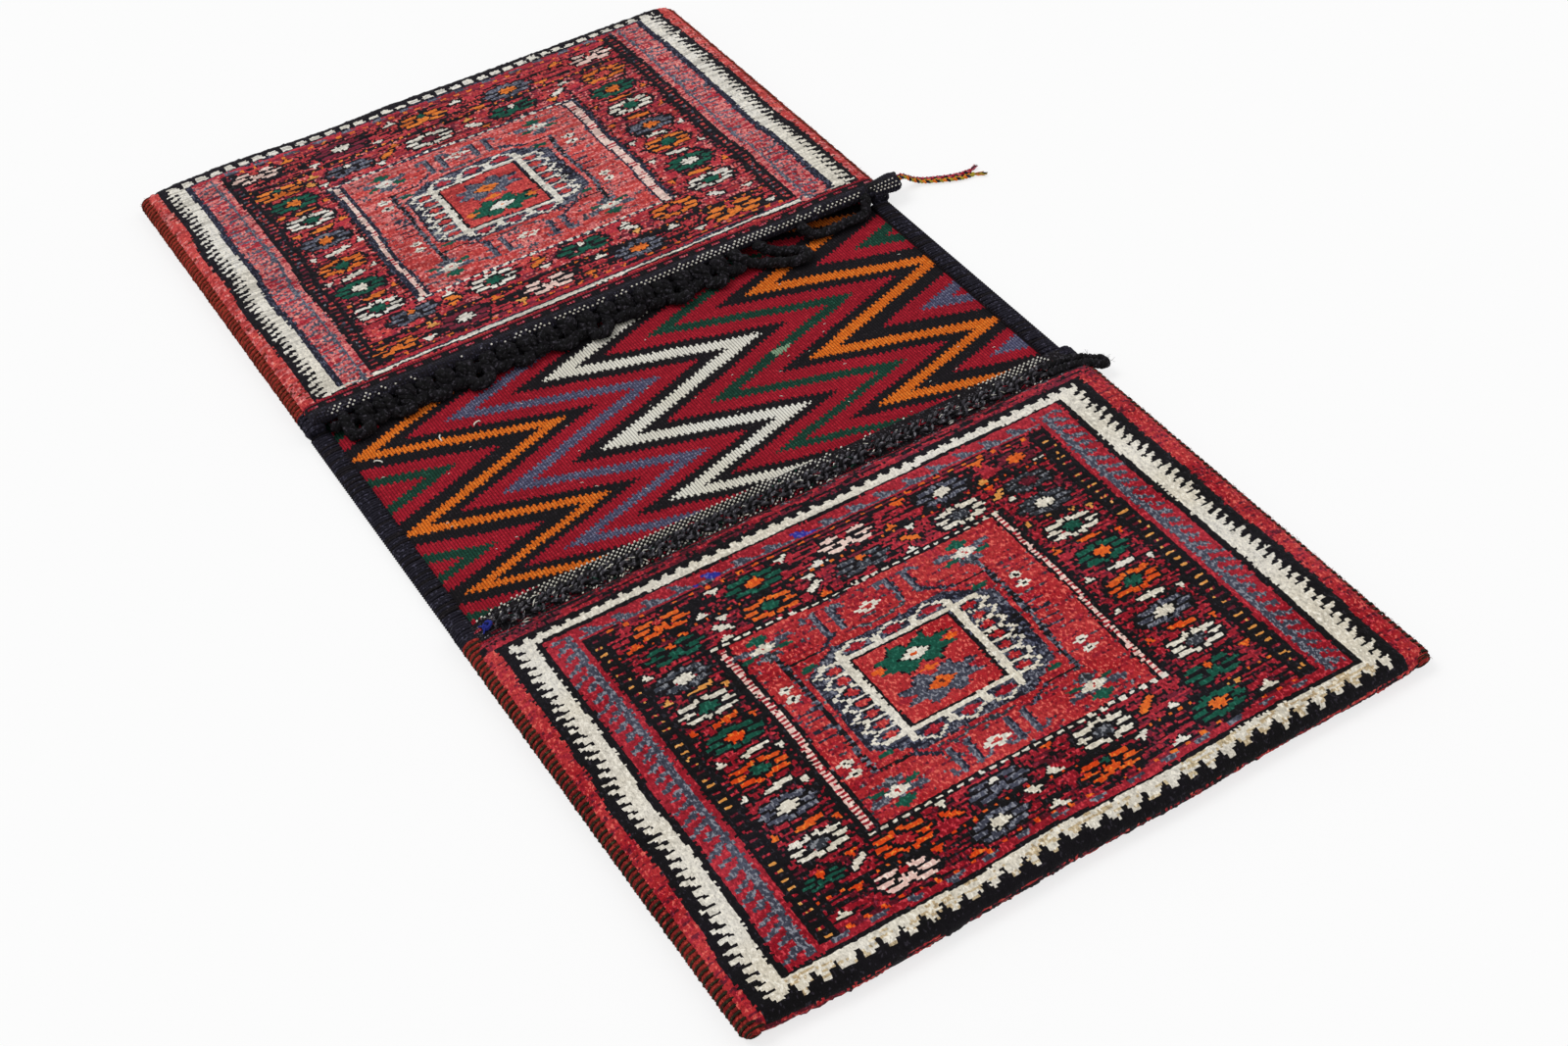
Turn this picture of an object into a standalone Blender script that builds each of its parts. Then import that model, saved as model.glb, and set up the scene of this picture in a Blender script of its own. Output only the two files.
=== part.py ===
"""A flat-lying saddle bag: one long woven strip folded into two pockets joined by a bridge.

All sizes are in metres. X runs across the weave, Y along it from the near pocket to the far
one, and Z up. The origin is on the underside, at the middle of the plan.
"""

import math

import bmesh
import bpy
from mathutils import Vector

# The woven strip
WEAVE_WIDTH = 0.576
NEAR_BAG_DEPTH = 0.4525
BRIDGE_LENGTH = 0.291
FAR_BAG_DEPTH = 0.4195
BACK_THICKNESS = 0.003
POCKET_HEIGHT = 0.012
PILE_THICKNESS = 0.009
FOLD_STEPS = 10

# The pile dips towards the side seams
EDGE_DROP = 0.005
EDGE_ROUND = 0.016
EDGE_STEPS = (0.0, 0.15, 0.45, 1.0)
FACE_ROWS = 4

# Near mouth: a flat lip that carries the lacing
LIP_LENGTH = 0.032
LIP_THICKNESS = 0.004
LIP_STEP = 0.005

# Far mouth: a rolled hem
HEM_RADIUS = 0.006
HEM_NECK = 0.004
HEM_NECK_THICKNESS = 0.0055

# Clearance that touching pieces keep
GAP = 0.0003

# Overcast side seams of the pockets
SEAM_WIDTH = 0.0117
SEAM_STITCH = 0.0115
SEAM_BUMP = 0.0014
SEAM_ROUND = 0.0042
SEAM_FOLD_STEPS = 4
SEAM_FOLD_ANGLE = math.radians(68)

# Overcast edges of the bridge
BINDING_WIDTH = 0.0085
BINDING_HEIGHT = 0.0062
BINDING_STITCH = 0.0125
BINDING_BUMP = 0.0009
BINDING_ROUND = 0.0025

# Goat-hair lacing on the near lip, each loop drawn up through the one before
LACE_RADIUS = 0.0018
LACE_PITCH = 0.0178
LACE_SLACK = 0.0006
LACE_FROM_EDGE = 0.0205
LACE_MARGIN = 0.014
LACE_END_LENGTH = 0.064
LACE_END_WIDTH = 0.017
LACE_END_TURN = 0.009

# Goat-hair closing loops that hang from the far hem
LOOP_RADIUS = 0.0055
LOOP_SPREAD = 0.0118
LOOP_REACH = 0.0245
LOOP_TIP = 0.0095
LOOP_PITCH = 0.0405
LOOP_COUNT = 10
LOOP_FIRST_X = -0.263
LOOP_SWAY = 0.0022
LOOP_HANG_DROP = 0.0025
LOOP_STUB = 0.0055
ALONG_LOOP_LENGTH = 0.071
ALONG_LOOP_MARGIN = 0.011

# Rolled end of the far hem and the plaited tie at that corner
CORNER_LENGTH = 0.0235
CORNER_DEPTH = 0.0270
CORNER_HEIGHT = 0.0170
CORNER_SWEEP = 0.0035
CORNER_DROP = 0.0030
CORNER_SIDES = 12
TIE_FROM_CENTRE = 0.0080
TIE_EXIT_Z = 0.0145
TIE_RADIUS = 0.0032
TIE_SIDES = 2
TIE_POINT_EVERY = 0.0085

# Small knots of yarn left at the near mouth
KNOT_RADIUS = 0.0035
KNOT_LENGTH = 0.009

# Heights and places that follow from the sizes above
FACE_UNDERSIDE = BACK_THICKNESS + POCKET_HEIGHT
FACE_TOP = FACE_UNDERSIDE + PILE_THICKNESS
LIP_TOP = FACE_UNDERSIDE + LIP_THICKNESS
HALF_WEAVE = WEAVE_WIDTH / 2
TOTAL_LENGTH = NEAR_BAG_DEPTH + BRIDGE_LENGTH + FAR_BAG_DEPTH
NEAR_END_Y = -TOTAL_LENGTH / 2
NEAR_MOUTH_Y = NEAR_END_Y + NEAR_BAG_DEPTH
FAR_MOUTH_Y = NEAR_MOUTH_Y + BRIDGE_LENGTH
FAR_END_Y = FAR_MOUTH_Y + FAR_BAG_DEPTH
HEM_CENTRE_Z = FACE_UNDERSIDE + HEM_RADIUS - 0.5 * (2 * HEM_RADIUS - PILE_THICKNESS)
HEM_CENTRE_Y = FAR_MOUTH_Y + HEM_RADIUS
SEAM_TOP = FACE_TOP - EDGE_DROP
LACE_SPACING = 2 * LACE_RADIUS + GAP
LACE_LEG = LACE_SPACING / 2
LACE_BIGHT = LACE_LEG + LACE_SPACING + LACE_SLACK
LACE_Y = NEAR_MOUTH_Y - LACE_FROM_EDGE
LACE_LOW_Z = LIP_TOP + GAP + LACE_RADIUS
LACE_HIGH_Z = LACE_LOW_Z + LACE_SPACING
LOOP_REST_Z = BACK_THICKNESS + GAP + LOOP_RADIUS

# The woven strip's colours by piece: red, green, blue, roughness
COLOURS = {
    "pile": (0.36, 0.02, 0.035, 0.95),
    "whipping": (0.30, 0.025, 0.02, 0.9),
    "binding": (0.018, 0.018, 0.028, 0.9),
    "goat_hair": (0.014, 0.013, 0.016, 0.8),
    "plait": (0.42, 0.06, 0.05, 0.85),
    "blue_yarn": (0.02, 0.03, 0.2, 0.85),
}


def clear_scene():
    """Remove every object that the scene starts with."""
    for item in list(bpy.data.objects):
        bpy.data.objects.remove(item, do_unlink=True)


def make_material(name):
    """A plain Principled material in one of the piece colours."""
    red, green, blue, roughness = COLOURS[name]
    material = bpy.data.materials.new(name)
    material.use_nodes = True
    shader = material.node_tree.nodes["Principled BSDF"]
    shader.inputs["Base Color"].default_value = (red, green, blue, 1.0)
    shader.inputs["Roughness"].default_value = roughness
    shader.inputs["Metallic"].default_value = 0.0
    return material


def add_object(name, data, material):
    """Link an object for a mesh or a curve, with its material."""
    data.materials.append(material)
    item = bpy.data.objects.new(name, data)
    bpy.context.scene.collection.objects.link(item)
    return item


def mesh_from_rings(name, rings, material, smooth=True):
    """A closed skin over a row of rings of points, with a flat cap at each end."""
    frame = bmesh.new()
    loops = [[frame.verts.new(point) for point in ring] for ring in rings]
    count = len(loops[0])
    for ring, following in zip(loops, loops[1:]):
        for i in range(count):
            j = (i + 1) % count
            frame.faces.new((ring[i], ring[j], following[j], following[i]))
    frame.faces.new(loops[0])
    frame.faces.new(list(reversed(loops[-1])))
    bmesh.ops.triangulate(frame, faces=frame.faces[:])
    bmesh.ops.recalc_face_normals(frame, faces=frame.faces[:])
    mesh = bpy.data.meshes.new(name)
    frame.to_mesh(mesh)
    frame.free()
    if smooth:
        mesh.shade_smooth()
        mesh.set_sharp_from_angle(angle=math.radians(50))
    return add_object(name, mesh, material)


def tube(name, path, radius, material, sides=6):
    """A round cord through the points of a path, as rings across its direction."""
    points = [Vector(point) for point in path]
    last = len(points) - 1
    radii = radius if isinstance(radius, (list, tuple)) else [radius] * (last + 1)
    rings = []
    across = None
    for i, point in enumerate(points):
        ahead = (points[min(i + 1, last)] - points[max(i - 1, 0)]).normalized()
        if across is None:
            helper = Vector((0, 0, 1)) if abs(ahead.z) < 0.9 else Vector((1, 0, 0))
            across = ahead.cross(helper).normalized()
        across = (across - ahead * across.dot(ahead)).normalized()
        up = ahead.cross(across)
        turn = [2 * math.pi * (k + 0.5) / sides for k in range(sides)]
        rings.append([point + (across * math.cos(a) + up * math.sin(a)) * radii[i] for a in turn])
    return mesh_from_rings(name, rings, material)


def smooth_route(route, spacing):
    """Points about a given spacing apart on a smooth curve through a route's own points."""
    points = [Vector(point) for point in route]
    padded = [2 * points[0] - points[1], *points, 2 * points[-1] - points[-2]]
    fine = []
    steps = 24
    for before, start, end, after in zip(padded, padded[1:], padded[2:], padded[3:]):
        for k in range(steps):
            t = k / steps
            fine.append(
                0.5
                * (
                    2 * start
                    + (end - before) * t
                    + (2 * before - 5 * start + 4 * end - after) * t**2
                    + (3 * start - 3 * end + after - before) * t**3
                )
            )
    fine.append(points[-1])
    reach = [0.0]
    for start, end in zip(fine, fine[1:]):
        reach.append(reach[-1] + (end - start).length)
    count = max(2, round(reach[-1] / spacing))
    chosen = []
    index = 0
    for k in range(count + 1):
        wanted = reach[-1] * k / count
        while index < len(reach) - 2 and reach[index + 1] < wanted:
            index += 1
        span = reach[index + 1] - reach[index]
        chosen.append(fine[index].lerp(fine[index + 1], (wanted - reach[index]) / span))
    return chosen


def fold_stations(end_y, direction):
    """Outer and inner points round the closed end of a pocket, from the back up to the face."""
    outer_radius = FACE_TOP / 2
    inner_radius = POCKET_HEIGHT / 2
    centre_y = end_y - direction * outer_radius
    stations = []
    for k in range(FOLD_STEPS + 1):
        angle = math.pi * (k / FOLD_STEPS - 0.5)
        outward = direction * math.cos(angle)
        climb = 1 + math.sin(angle)
        outer = (centre_y + outer_radius * outward, outer_radius * climb)
        inner = (centre_y + inner_radius * outward, BACK_THICKNESS + inner_radius * climb)
        stations.append((outer, inner, climb / 2))
    return stations


def face_stations(from_y, to_y):
    """Outer and inner points along a pile face, both ends included."""
    return [
        ((y, FACE_TOP), (y, FACE_UNDERSIDE), 1.0)
        for y in (from_y + (to_y - from_y) * k / FACE_ROWS for k in range(FACE_ROWS + 1))
    ]


def lip_stations():
    """The near mouth: the pile steps down to a flat lip with a rounded edge."""
    middle = FACE_UNDERSIDE + LIP_THICKNESS / 2
    half = LIP_THICKNESS / 2
    edge = NEAR_MOUTH_Y
    start = NEAR_MOUTH_Y - LIP_LENGTH
    return [
        ((start, LIP_TOP), (start, FACE_UNDERSIDE), 0.0),
        ((edge - half, LIP_TOP), (edge - half, FACE_UNDERSIDE), 0.0),
        ((edge - half * 0.4, middle + half * 0.8), (edge - half * 0.4, middle - half * 0.8), 0.0),
        ((edge, middle + half * 0.3), (edge, middle - half * 0.3), 0.0),
    ]


def hem_stations():
    """The far mouth: a thin neck and then a roll of cloth, listed from the face outwards."""
    neck_half = HEM_NECK_THICKNESS / 2
    neck_y = HEM_CENTRE_Y + HEM_RADIUS + HEM_NECK / 2
    stations = [((neck_y, HEM_CENTRE_Z + neck_half), (neck_y, HEM_CENTRE_Z - neck_half), 0.0)]
    for degrees in (30, 60, 90, 120, 150, 168):
        y = HEM_CENTRE_Y + HEM_RADIUS * math.cos(math.radians(degrees))
        rise = HEM_RADIUS * math.sin(math.radians(degrees))
        stations.append(((y, HEM_CENTRE_Z + rise), (y, HEM_CENTRE_Z - rise), 0.0))
    return stations


def strip_stations():
    """The whole folded strip in order, from the near mouth round both pockets to the far mouth."""
    near_face_end = NEAR_END_Y + FACE_TOP / 2
    far_face_end = FAR_END_Y - FACE_TOP / 2
    near_pile_end = NEAR_MOUTH_Y - LIP_LENGTH - LIP_STEP
    far_pile_end = HEM_CENTRE_Y + HEM_RADIUS + HEM_NECK
    near_face = face_stations(near_face_end, near_pile_end)[1:]
    far_face = face_stations(far_face_end, far_pile_end)[1:]
    near_fold = fold_stations(NEAR_END_Y, -1)
    far_fold = fold_stations(FAR_END_Y, 1)
    near = list(reversed(near_fold + near_face + lip_stations()))
    return near + far_fold + far_face + hem_stations()


def columns():
    """Where the strip is cut across its width: close together by the edges."""
    inset = [EDGE_ROUND * step for step in EDGE_STEPS]
    left = [-HALF_WEAVE + step for step in inset]
    return left + [0.0] + [-x for x in reversed(left)]


def edge_drop(x):
    """How far the pile's surface lies below its full height, near a side."""
    share = min((HALF_WEAVE - abs(x)) / EDGE_ROUND, 1.0)
    return EDGE_DROP * (1 - share) ** 2


def build_woven_body(material):
    """The strip as one thick sheet: outer skin, inner skin, two side walls and two mouth edges."""
    stations = strip_stations()
    frame = bmesh.new()
    outer = []
    inner = []
    for x in columns():
        drop = edge_drop(x)
        outer.append([frame.verts.new((x, y, z - drop * share)) for (y, z), _, share in stations])
        inner.append([frame.verts.new((x, y, z)) for _, (y, z), _ in stations])
    last = len(stations) - 1
    for skin in (outer, inner):
        for row, following in zip(skin, skin[1:]):
            for i in range(last):
                frame.faces.new((row[i], row[i + 1], following[i + 1], following[i]))
    for i in (0, last):
        for k in range(len(outer) - 1):
            frame.faces.new((outer[k][i], outer[k + 1][i], inner[k + 1][i], inner[k][i]))
    for k in (0, len(outer) - 1):
        for i in range(last):
            frame.faces.new((outer[k][i], outer[k][i + 1], inner[k][i + 1], inner[k][i]))
    bmesh.ops.triangulate(frame, faces=frame.faces[:])
    bmesh.ops.recalc_face_normals(frame, faces=frame.faces[:])
    mesh = bpy.data.meshes.new("woven_body")
    frame.to_mesh(mesh)
    frame.free()
    mesh.shade_smooth()
    mesh.set_sharp_from_angle(angle=math.radians(40))
    return add_object("woven_body", mesh, material)


def edging_ring(side, y, width, low, high, round_off):
    """One section of an overcast edge, flat inside and rounded outside."""
    inside = side * (HALF_WEAVE + GAP)
    outside = side * (HALF_WEAVE + GAP + width)
    turned = outside - side * round_off
    lift = min(round_off, (high - low) * 0.45)
    return [
        (inside, y, low),
        (turned, y, low),
        (outside, y, low + lift),
        (outside, y, high - lift),
        (turned, y, high),
        (inside, y, high),
    ]


def build_side_seam(name, side, mouth_y, end_y, material):
    """The overcast seam that closes one side of a pocket, following the round of the fold."""
    direction = 1 if end_y > mouth_y else -1
    fold_radius = FACE_TOP / 2
    straight = abs(end_y - mouth_y) - fold_radius
    stitches = max(2, round(straight / SEAM_STITCH))
    low_width = SEAM_WIDTH - SEAM_BUMP
    low_top = SEAM_TOP - SEAM_BUMP
    rings = []
    for k in range(2 * stitches + 1):
        y = mouth_y + direction * straight * k / (2 * stitches)
        bump = SEAM_BUMP if k % 2 else 0.0
        rings.append(edging_ring(side, y, low_width + bump, 0.0, low_top + bump, SEAM_ROUND))
    for k in range(1, SEAM_FOLD_STEPS + 1):
        angle = SEAM_FOLD_ANGLE * k / SEAM_FOLD_STEPS
        y = mouth_y + direction * (straight + fold_radius * math.sin(angle))
        half = fold_radius * math.cos(angle)
        top = min(low_top, fold_radius + half)
        rings.append(edging_ring(side, y, low_width, fold_radius - half, top, SEAM_ROUND * math.cos(angle)))
    return mesh_from_rings(name, rings, material)


def build_binding(name, side, material):
    """The overcast edge of the bridge, between the two mouths."""
    start = NEAR_MOUTH_Y + GAP
    end = FAR_MOUTH_Y - GAP
    stitches = max(2, round((end - start) / BINDING_STITCH))
    rings = []
    for k in range(2 * stitches + 1):
        y = start + (end - start) * k / (2 * stitches)
        bump = BINDING_BUMP if k % 2 else 0.0
        width = BINDING_WIDTH - BINDING_BUMP + bump
        height = BINDING_HEIGHT - BINDING_BUMP + bump
        rings.append(edging_ring(side, y, width, 0.0, height, BINDING_ROUND))
    return mesh_from_rings(name, rings, material)


def lace_path(start_x, length, width, turn_y, tip_z):
    """One loop of the lacing: up from the lip, over the loop before, then down to a round bight."""
    leg = LACE_LEG
    base_z = LIP_TOP + GAP
    over_x = LACE_BIGHT - LACE_SPACING * 0.6
    past_x = LACE_BIGHT + LACE_SPACING * 0.55
    up = [
        (0.0, leg, base_z),
        (0.0, leg, base_z + LACE_SPACING * 0.55),
        (over_x, leg, LACE_HIGH_Z),
        (past_x, leg + LACE_SLACK, LACE_HIGH_Z),
    ]
    bight = []
    for degrees in (0, 45, 90, 135, 180):
        angle = math.radians(degrees)
        point = (length + width * math.sin(angle), width * math.cos(angle) - turn_y, tip_z)
        bight.append(point)
    down = [(x, -y, z) for x, y, z in reversed(up)]
    return [(start_x + x, LACE_Y + y, z) for x, y, z in up + bight + down]


def build_lacing(material):
    """Every loop of the near lacing, and the longer loop that ends it beyond the corner."""
    room = WEAVE_WIDTH - 2 * LACE_MARGIN - LACE_BIGHT - LACE_RADIUS
    count = int(room / LACE_PITCH)
    first_x = -HALF_WEAVE + LACE_MARGIN
    for k in range(count):
        path = lace_path(first_x + k * LACE_PITCH, LACE_PITCH, LACE_BIGHT, 0.0, LACE_LOW_Z)
        tube(f"near_lace_{k + 1:02d}", path, LACE_RADIUS, material)
    end_x = first_x + count * LACE_PITCH
    half = LACE_END_WIDTH / 2
    path = lace_path(end_x, LACE_END_LENGTH - half, half, LACE_END_TURN, LACE_LOW_Z)
    tube("near_lace_end_loop", path, LACE_RADIUS, material)


def closing_loop_path(x, sway):
    """A loop that leaves the hem, droops to the bridge and turns back on it."""
    hang_z = HEM_CENTRE_Z - LOOP_HANG_DROP
    spread = LOOP_SPREAD
    out = [
        (-spread, -GAP, hang_z),
        (-spread, -LOOP_STUB, hang_z),
        (-spread - 0.0006 + sway * 0.5, -LOOP_REACH + LOOP_TIP, LOOP_REST_Z),
    ]
    tip = []
    for turn in (35, 65, 90, 115, 145):
        angle = math.radians(turn)
        tip_y = -LOOP_REACH + LOOP_TIP * (1 - math.sin(angle))
        tip.append((sway - spread * math.cos(angle), tip_y, LOOP_REST_Z))
    back = [
        (spread + 0.0006 + sway * 0.5, -LOOP_REACH + LOOP_TIP, LOOP_REST_Z),
        (spread, -LOOP_STUB, hang_z),
        (spread, -GAP, hang_z),
    ]
    return [(x + dx, FAR_MOUTH_Y + dy, z) for dx, dy, z in out + tip + back]


def build_closing_loops(material):
    """The row of loops under the far hem, a long slanting one and one laid along the mouth."""
    for k in range(LOOP_COUNT):
        sway = LOOP_SWAY * math.sin(1.7 * k)
        path = closing_loop_path(LOOP_FIRST_X + k * LOOP_PITCH, sway)
        tube(f"far_loop_{k + 1:02d}", path, LOOP_RADIUS, material)
    hang_z = HEM_CENTRE_Z - LOOP_HANG_DROP
    rest_z = LOOP_REST_Z
    slanting = [
        (0.1310, -GAP, hang_z),
        (0.1310, -LOOP_STUB, hang_z),
        (0.1450, -0.0165, rest_z),
        (0.1620, -0.0262, rest_z),
        (0.1780, -0.0345, rest_z),
        (0.1885, -0.0355, rest_z),
        (0.1930, -0.0280, rest_z),
        (0.1800, -0.0170, rest_z),
        (0.1650, -0.0110, rest_z + 0.0025),
        (0.1560, -LOOP_STUB, hang_z),
        (0.1560, -GAP, hang_z),
    ]
    end_x = HALF_WEAVE - ALONG_LOOP_MARGIN
    start_x = end_x - ALONG_LOOP_LENGTH
    along = [
        (start_x, -GAP, hang_z),
        (start_x, -LOOP_STUB, hang_z),
        (start_x + 0.0090, -0.0125, rest_z),
        ((start_x + end_x) / 2, -0.0130, rest_z),
        (end_x - 0.0090, -0.0125, rest_z),
        (end_x, -LOOP_STUB, hang_z),
        (end_x, -GAP, hang_z),
    ]
    for name, route in (("far_loop_slanting", slanting), ("far_loop_along_mouth", along)):
        tube(name, [(x, FAR_MOUTH_Y + y, z) for x, y, z in route], LOOP_RADIUS, material)


def build_corner(goat_hair, plait):
    """The rolled end of the far hem beyond the side seam, and the plaited tie that leaves it."""
    start = HALF_WEAVE + GAP + SEAM_WIDTH + GAP
    stations = ((0.0, 0.0, 0.90), (0.2, 0.0, 1.0), (0.5, 0.5, 0.98), (0.82, 1.0, 0.90), (1.0, 1.0, 0.76))
    rings = []
    for along, turn, share in stations:
        x = start + CORNER_LENGTH * along
        y = HEM_CENTRE_Y + CORNER_SWEEP * turn
        z = HEM_CENTRE_Z - CORNER_DROP * turn
        angles = [2 * math.pi * (k + 0.5) / CORNER_SIDES for k in range(CORNER_SIDES)]
        half_y = CORNER_DEPTH / 2 * share
        half_z = CORNER_HEIGHT / 2 * share
        rings.append([(x, y + half_y * math.cos(a), z + half_z * math.sin(a)) for a in angles])
    mesh_from_rings("far_hem_end", rings, goat_hair)
    exit_x = start + CORNER_LENGTH + GAP
    exit_y = HEM_CENTRE_Y + TIE_FROM_CENTRE
    floor_z = TIE_RADIUS + GAP
    route = [
        (exit_x, exit_y, TIE_EXIT_Z),
        (exit_x + 0.0080, exit_y, TIE_EXIT_Z),
        (exit_x + 0.0190, exit_y - 0.0010, floor_z + 0.0035),
        (exit_x + 0.0290, exit_y - 0.0045, floor_z + 0.0003),
        (exit_x + 0.0400, exit_y - 0.0100, floor_z),
        (exit_x + 0.0520, exit_y - 0.0155, floor_z),
        (exit_x + 0.0640, exit_y - 0.0195, floor_z),
        (exit_x + 0.0745, exit_y - 0.0205, floor_z),
    ]
    points = smooth_route(route, TIE_POINT_EVERY)
    curve = bpy.data.curves.new("corner_tie", "CURVE")
    curve.dimensions = "3D"
    spline = curve.splines.new("POLY")
    spline.points.add(len(points) - 1)
    for slot, point in zip(spline.points, points):
        slot.co = (*point, 1.0)
    curve.bevel_depth = TIE_RADIUS
    curve.bevel_resolution = TIE_SIDES
    curve.use_fill_caps = True
    add_object("corner_tie", curve, plait)


def build_yarn_knot(material):
    """A small knot of blue yarn at the left end of the near lip."""
    y = LACE_Y
    z = LIP_TOP + GAP + KNOT_RADIUS
    shares = ((-0.5, 0.45), (-0.25, 0.9), (0.0, 1.0), (0.25, 0.9), (0.5, 0.45))
    x = -HALF_WEAVE + LACE_MARGIN - LACE_RADIUS - GAP - KNOT_LENGTH / 2
    path = [(x + KNOT_LENGTH * along, y, z) for along, _ in shares]
    tube("near_yarn_knot", path, [KNOT_RADIUS * thick for _, thick in shares], material, sides=8)


def main():
    """Build every piece of the bag."""
    clear_scene()
    paint = {name: make_material(name) for name in COLOURS}
    build_woven_body(paint["pile"])
    for bag, mouth_y, end_y in (("near", NEAR_MOUTH_Y, NEAR_END_Y), ("far", FAR_MOUTH_Y, FAR_END_Y)):
        for hand, side in (("left", -1), ("right", 1)):
            build_side_seam(f"side_seam_{bag}_{hand}", side, mouth_y, end_y, paint["whipping"])
    build_binding("bridge_binding_left", -1, paint["binding"])
    build_binding("bridge_binding_right", 1, paint["binding"])
    build_lacing(paint["goat_hair"])
    build_closing_loops(paint["goat_hair"])
    build_corner(paint["goat_hair"], paint["plait"])
    build_yarn_knot(paint["blue_yarn"])


main()
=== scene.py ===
"""Looks of a flat-lying saddle bag: knotted pile faces, a flat-woven bridge and goat-hair fastenings.

All sizes are in metres unless a name says otherwise. X runs across the weave, Y along it from the
near pocket to the far one, and Z up. The pile patterns are drawn in knots: columns are counted from
the middle of the face, rows from the mouth of the pocket.
"""

from __future__ import annotations

import logging
import math
from collections.abc import Sequence
from dataclasses import dataclass
from enum import Enum, IntEnum

import bpy
import numpy as np
from mathutils import Matrix, Vector

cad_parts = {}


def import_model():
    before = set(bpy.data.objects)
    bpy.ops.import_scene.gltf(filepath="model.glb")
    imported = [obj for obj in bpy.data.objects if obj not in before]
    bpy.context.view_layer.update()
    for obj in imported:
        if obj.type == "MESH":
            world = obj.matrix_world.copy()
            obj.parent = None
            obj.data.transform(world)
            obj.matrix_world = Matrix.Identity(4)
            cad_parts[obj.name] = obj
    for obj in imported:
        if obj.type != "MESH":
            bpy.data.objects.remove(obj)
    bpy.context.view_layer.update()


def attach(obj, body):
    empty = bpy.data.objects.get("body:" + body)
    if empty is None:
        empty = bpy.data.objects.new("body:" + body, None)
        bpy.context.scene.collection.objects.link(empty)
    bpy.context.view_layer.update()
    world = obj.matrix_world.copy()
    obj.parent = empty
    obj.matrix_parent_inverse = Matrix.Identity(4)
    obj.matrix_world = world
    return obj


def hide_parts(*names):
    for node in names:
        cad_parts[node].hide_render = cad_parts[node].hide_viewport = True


log = logging.getLogger("saddle_bag")

Rgb = tuple[float, float, float]
Screen = tuple[int, int, int]
Point = tuple[float, float, float]
Spot = tuple[float, float]
Piece = bpy.types.Object
Socket = bpy.types.NodeSocket
Material = bpy.types.Material
Generator = np.random.Generator
Array = np.ndarray

# The step from one row of knots to the next, and the play between pieces that touch.
KNOT = 0.0021
GAP = 0.0003


def linear(red: int, green: int, blue: int) -> Rgb:
    """Turn a screen colour of 0 to 255 into the linear colour that a shader takes.

    Args:
        red: Red, 0 to 255.
        green: Green, 0 to 255.
        blue: Blue, 0 to 255.

    Returns:
        The linear red, green and blue, each from 0 to 1.
    """
    shares = [value / 255 for value in (red, green, blue)]
    r, g, b = (s / 12.92 if s <= 0.04045 else ((s + 0.055) / 1.055) ** 2.4 for s in shares)
    return (r, g, b)


class Wool(IntEnum):
    """The yarns that the bag is made of, in the order of a mesh's material slots."""

    CREAM = 0
    COAL = 1
    NIGHT = 2
    MADDER = 3
    CRIMSON = 4
    WINE = 5
    ROSE = 6
    ORANGE = 7
    OCHRE = 8
    GREEN = 9
    HEATHER = 10
    SLATE = 11
    ROYAL = 12
    RUST = 13
    TAN = 14
    BLUSH = 15


(CREAM, COAL, NIGHT, MADDER, CRIMSON, WINE, ROSE, ORANGE) = tuple(Wool)[:8]
(OCHRE, GREEN, HEATHER, SLATE, ROYAL, RUST, TAN, BLUSH) = tuple(Wool)[8:]


class Cloth(Enum):
    """How a yarn is worked, which sets the size and the direction of its fibres."""

    PILE = "pile"
    FLAT = "flat"
    CORD = "cord"


@dataclass(frozen=True)
class ClothGrain:
    """The texture that one way of working gives to any yarn."""

    fibre_scale: Point
    clump_scale: Point
    band_scale: Point
    bump: float
    bump_depth: float
    roughness: float
    sheen: float
    # How dark the painted shade in the valleys between ribs is.
    ribs: float = 0.0
    # How dark the painted shade in the grooves between rows of knots is.
    row_groove_shade: float = 0.0


GRAINS = {
    Cloth.PILE: ClothGrain(
        (900.0, 520.0, 700.0), (400.0, 260.0, 300.0), (3.0, 34.0, 3.0), 0.8, 0.0012, 0.95, 0.03, 0.0, 0.5
    ),
    Cloth.FLAT: ClothGrain(
        (420.0, 1100.0, 900.0), (240.0, 620.0, 400.0), (1.5, 60.0, 3.0), 0.7, 0.0007, 0.9, 0.0, 0.8
    ),
    Cloth.CORD: ClothGrain(
        (900.0, 900.0, 900.0), (380.0, 380.0, 380.0), (40.0, 40.0, 40.0), 0.8, 0.0007, 0.85, 0.0
    ),
}
# How fast the ribs of the flat weave, and the painted shade in their valleys, follow one another, and how
# long a crinkle of goat hair is.
RIB_SHADE_WAVE = 116.72
CRINKLE_STEP = 0.0046


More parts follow.
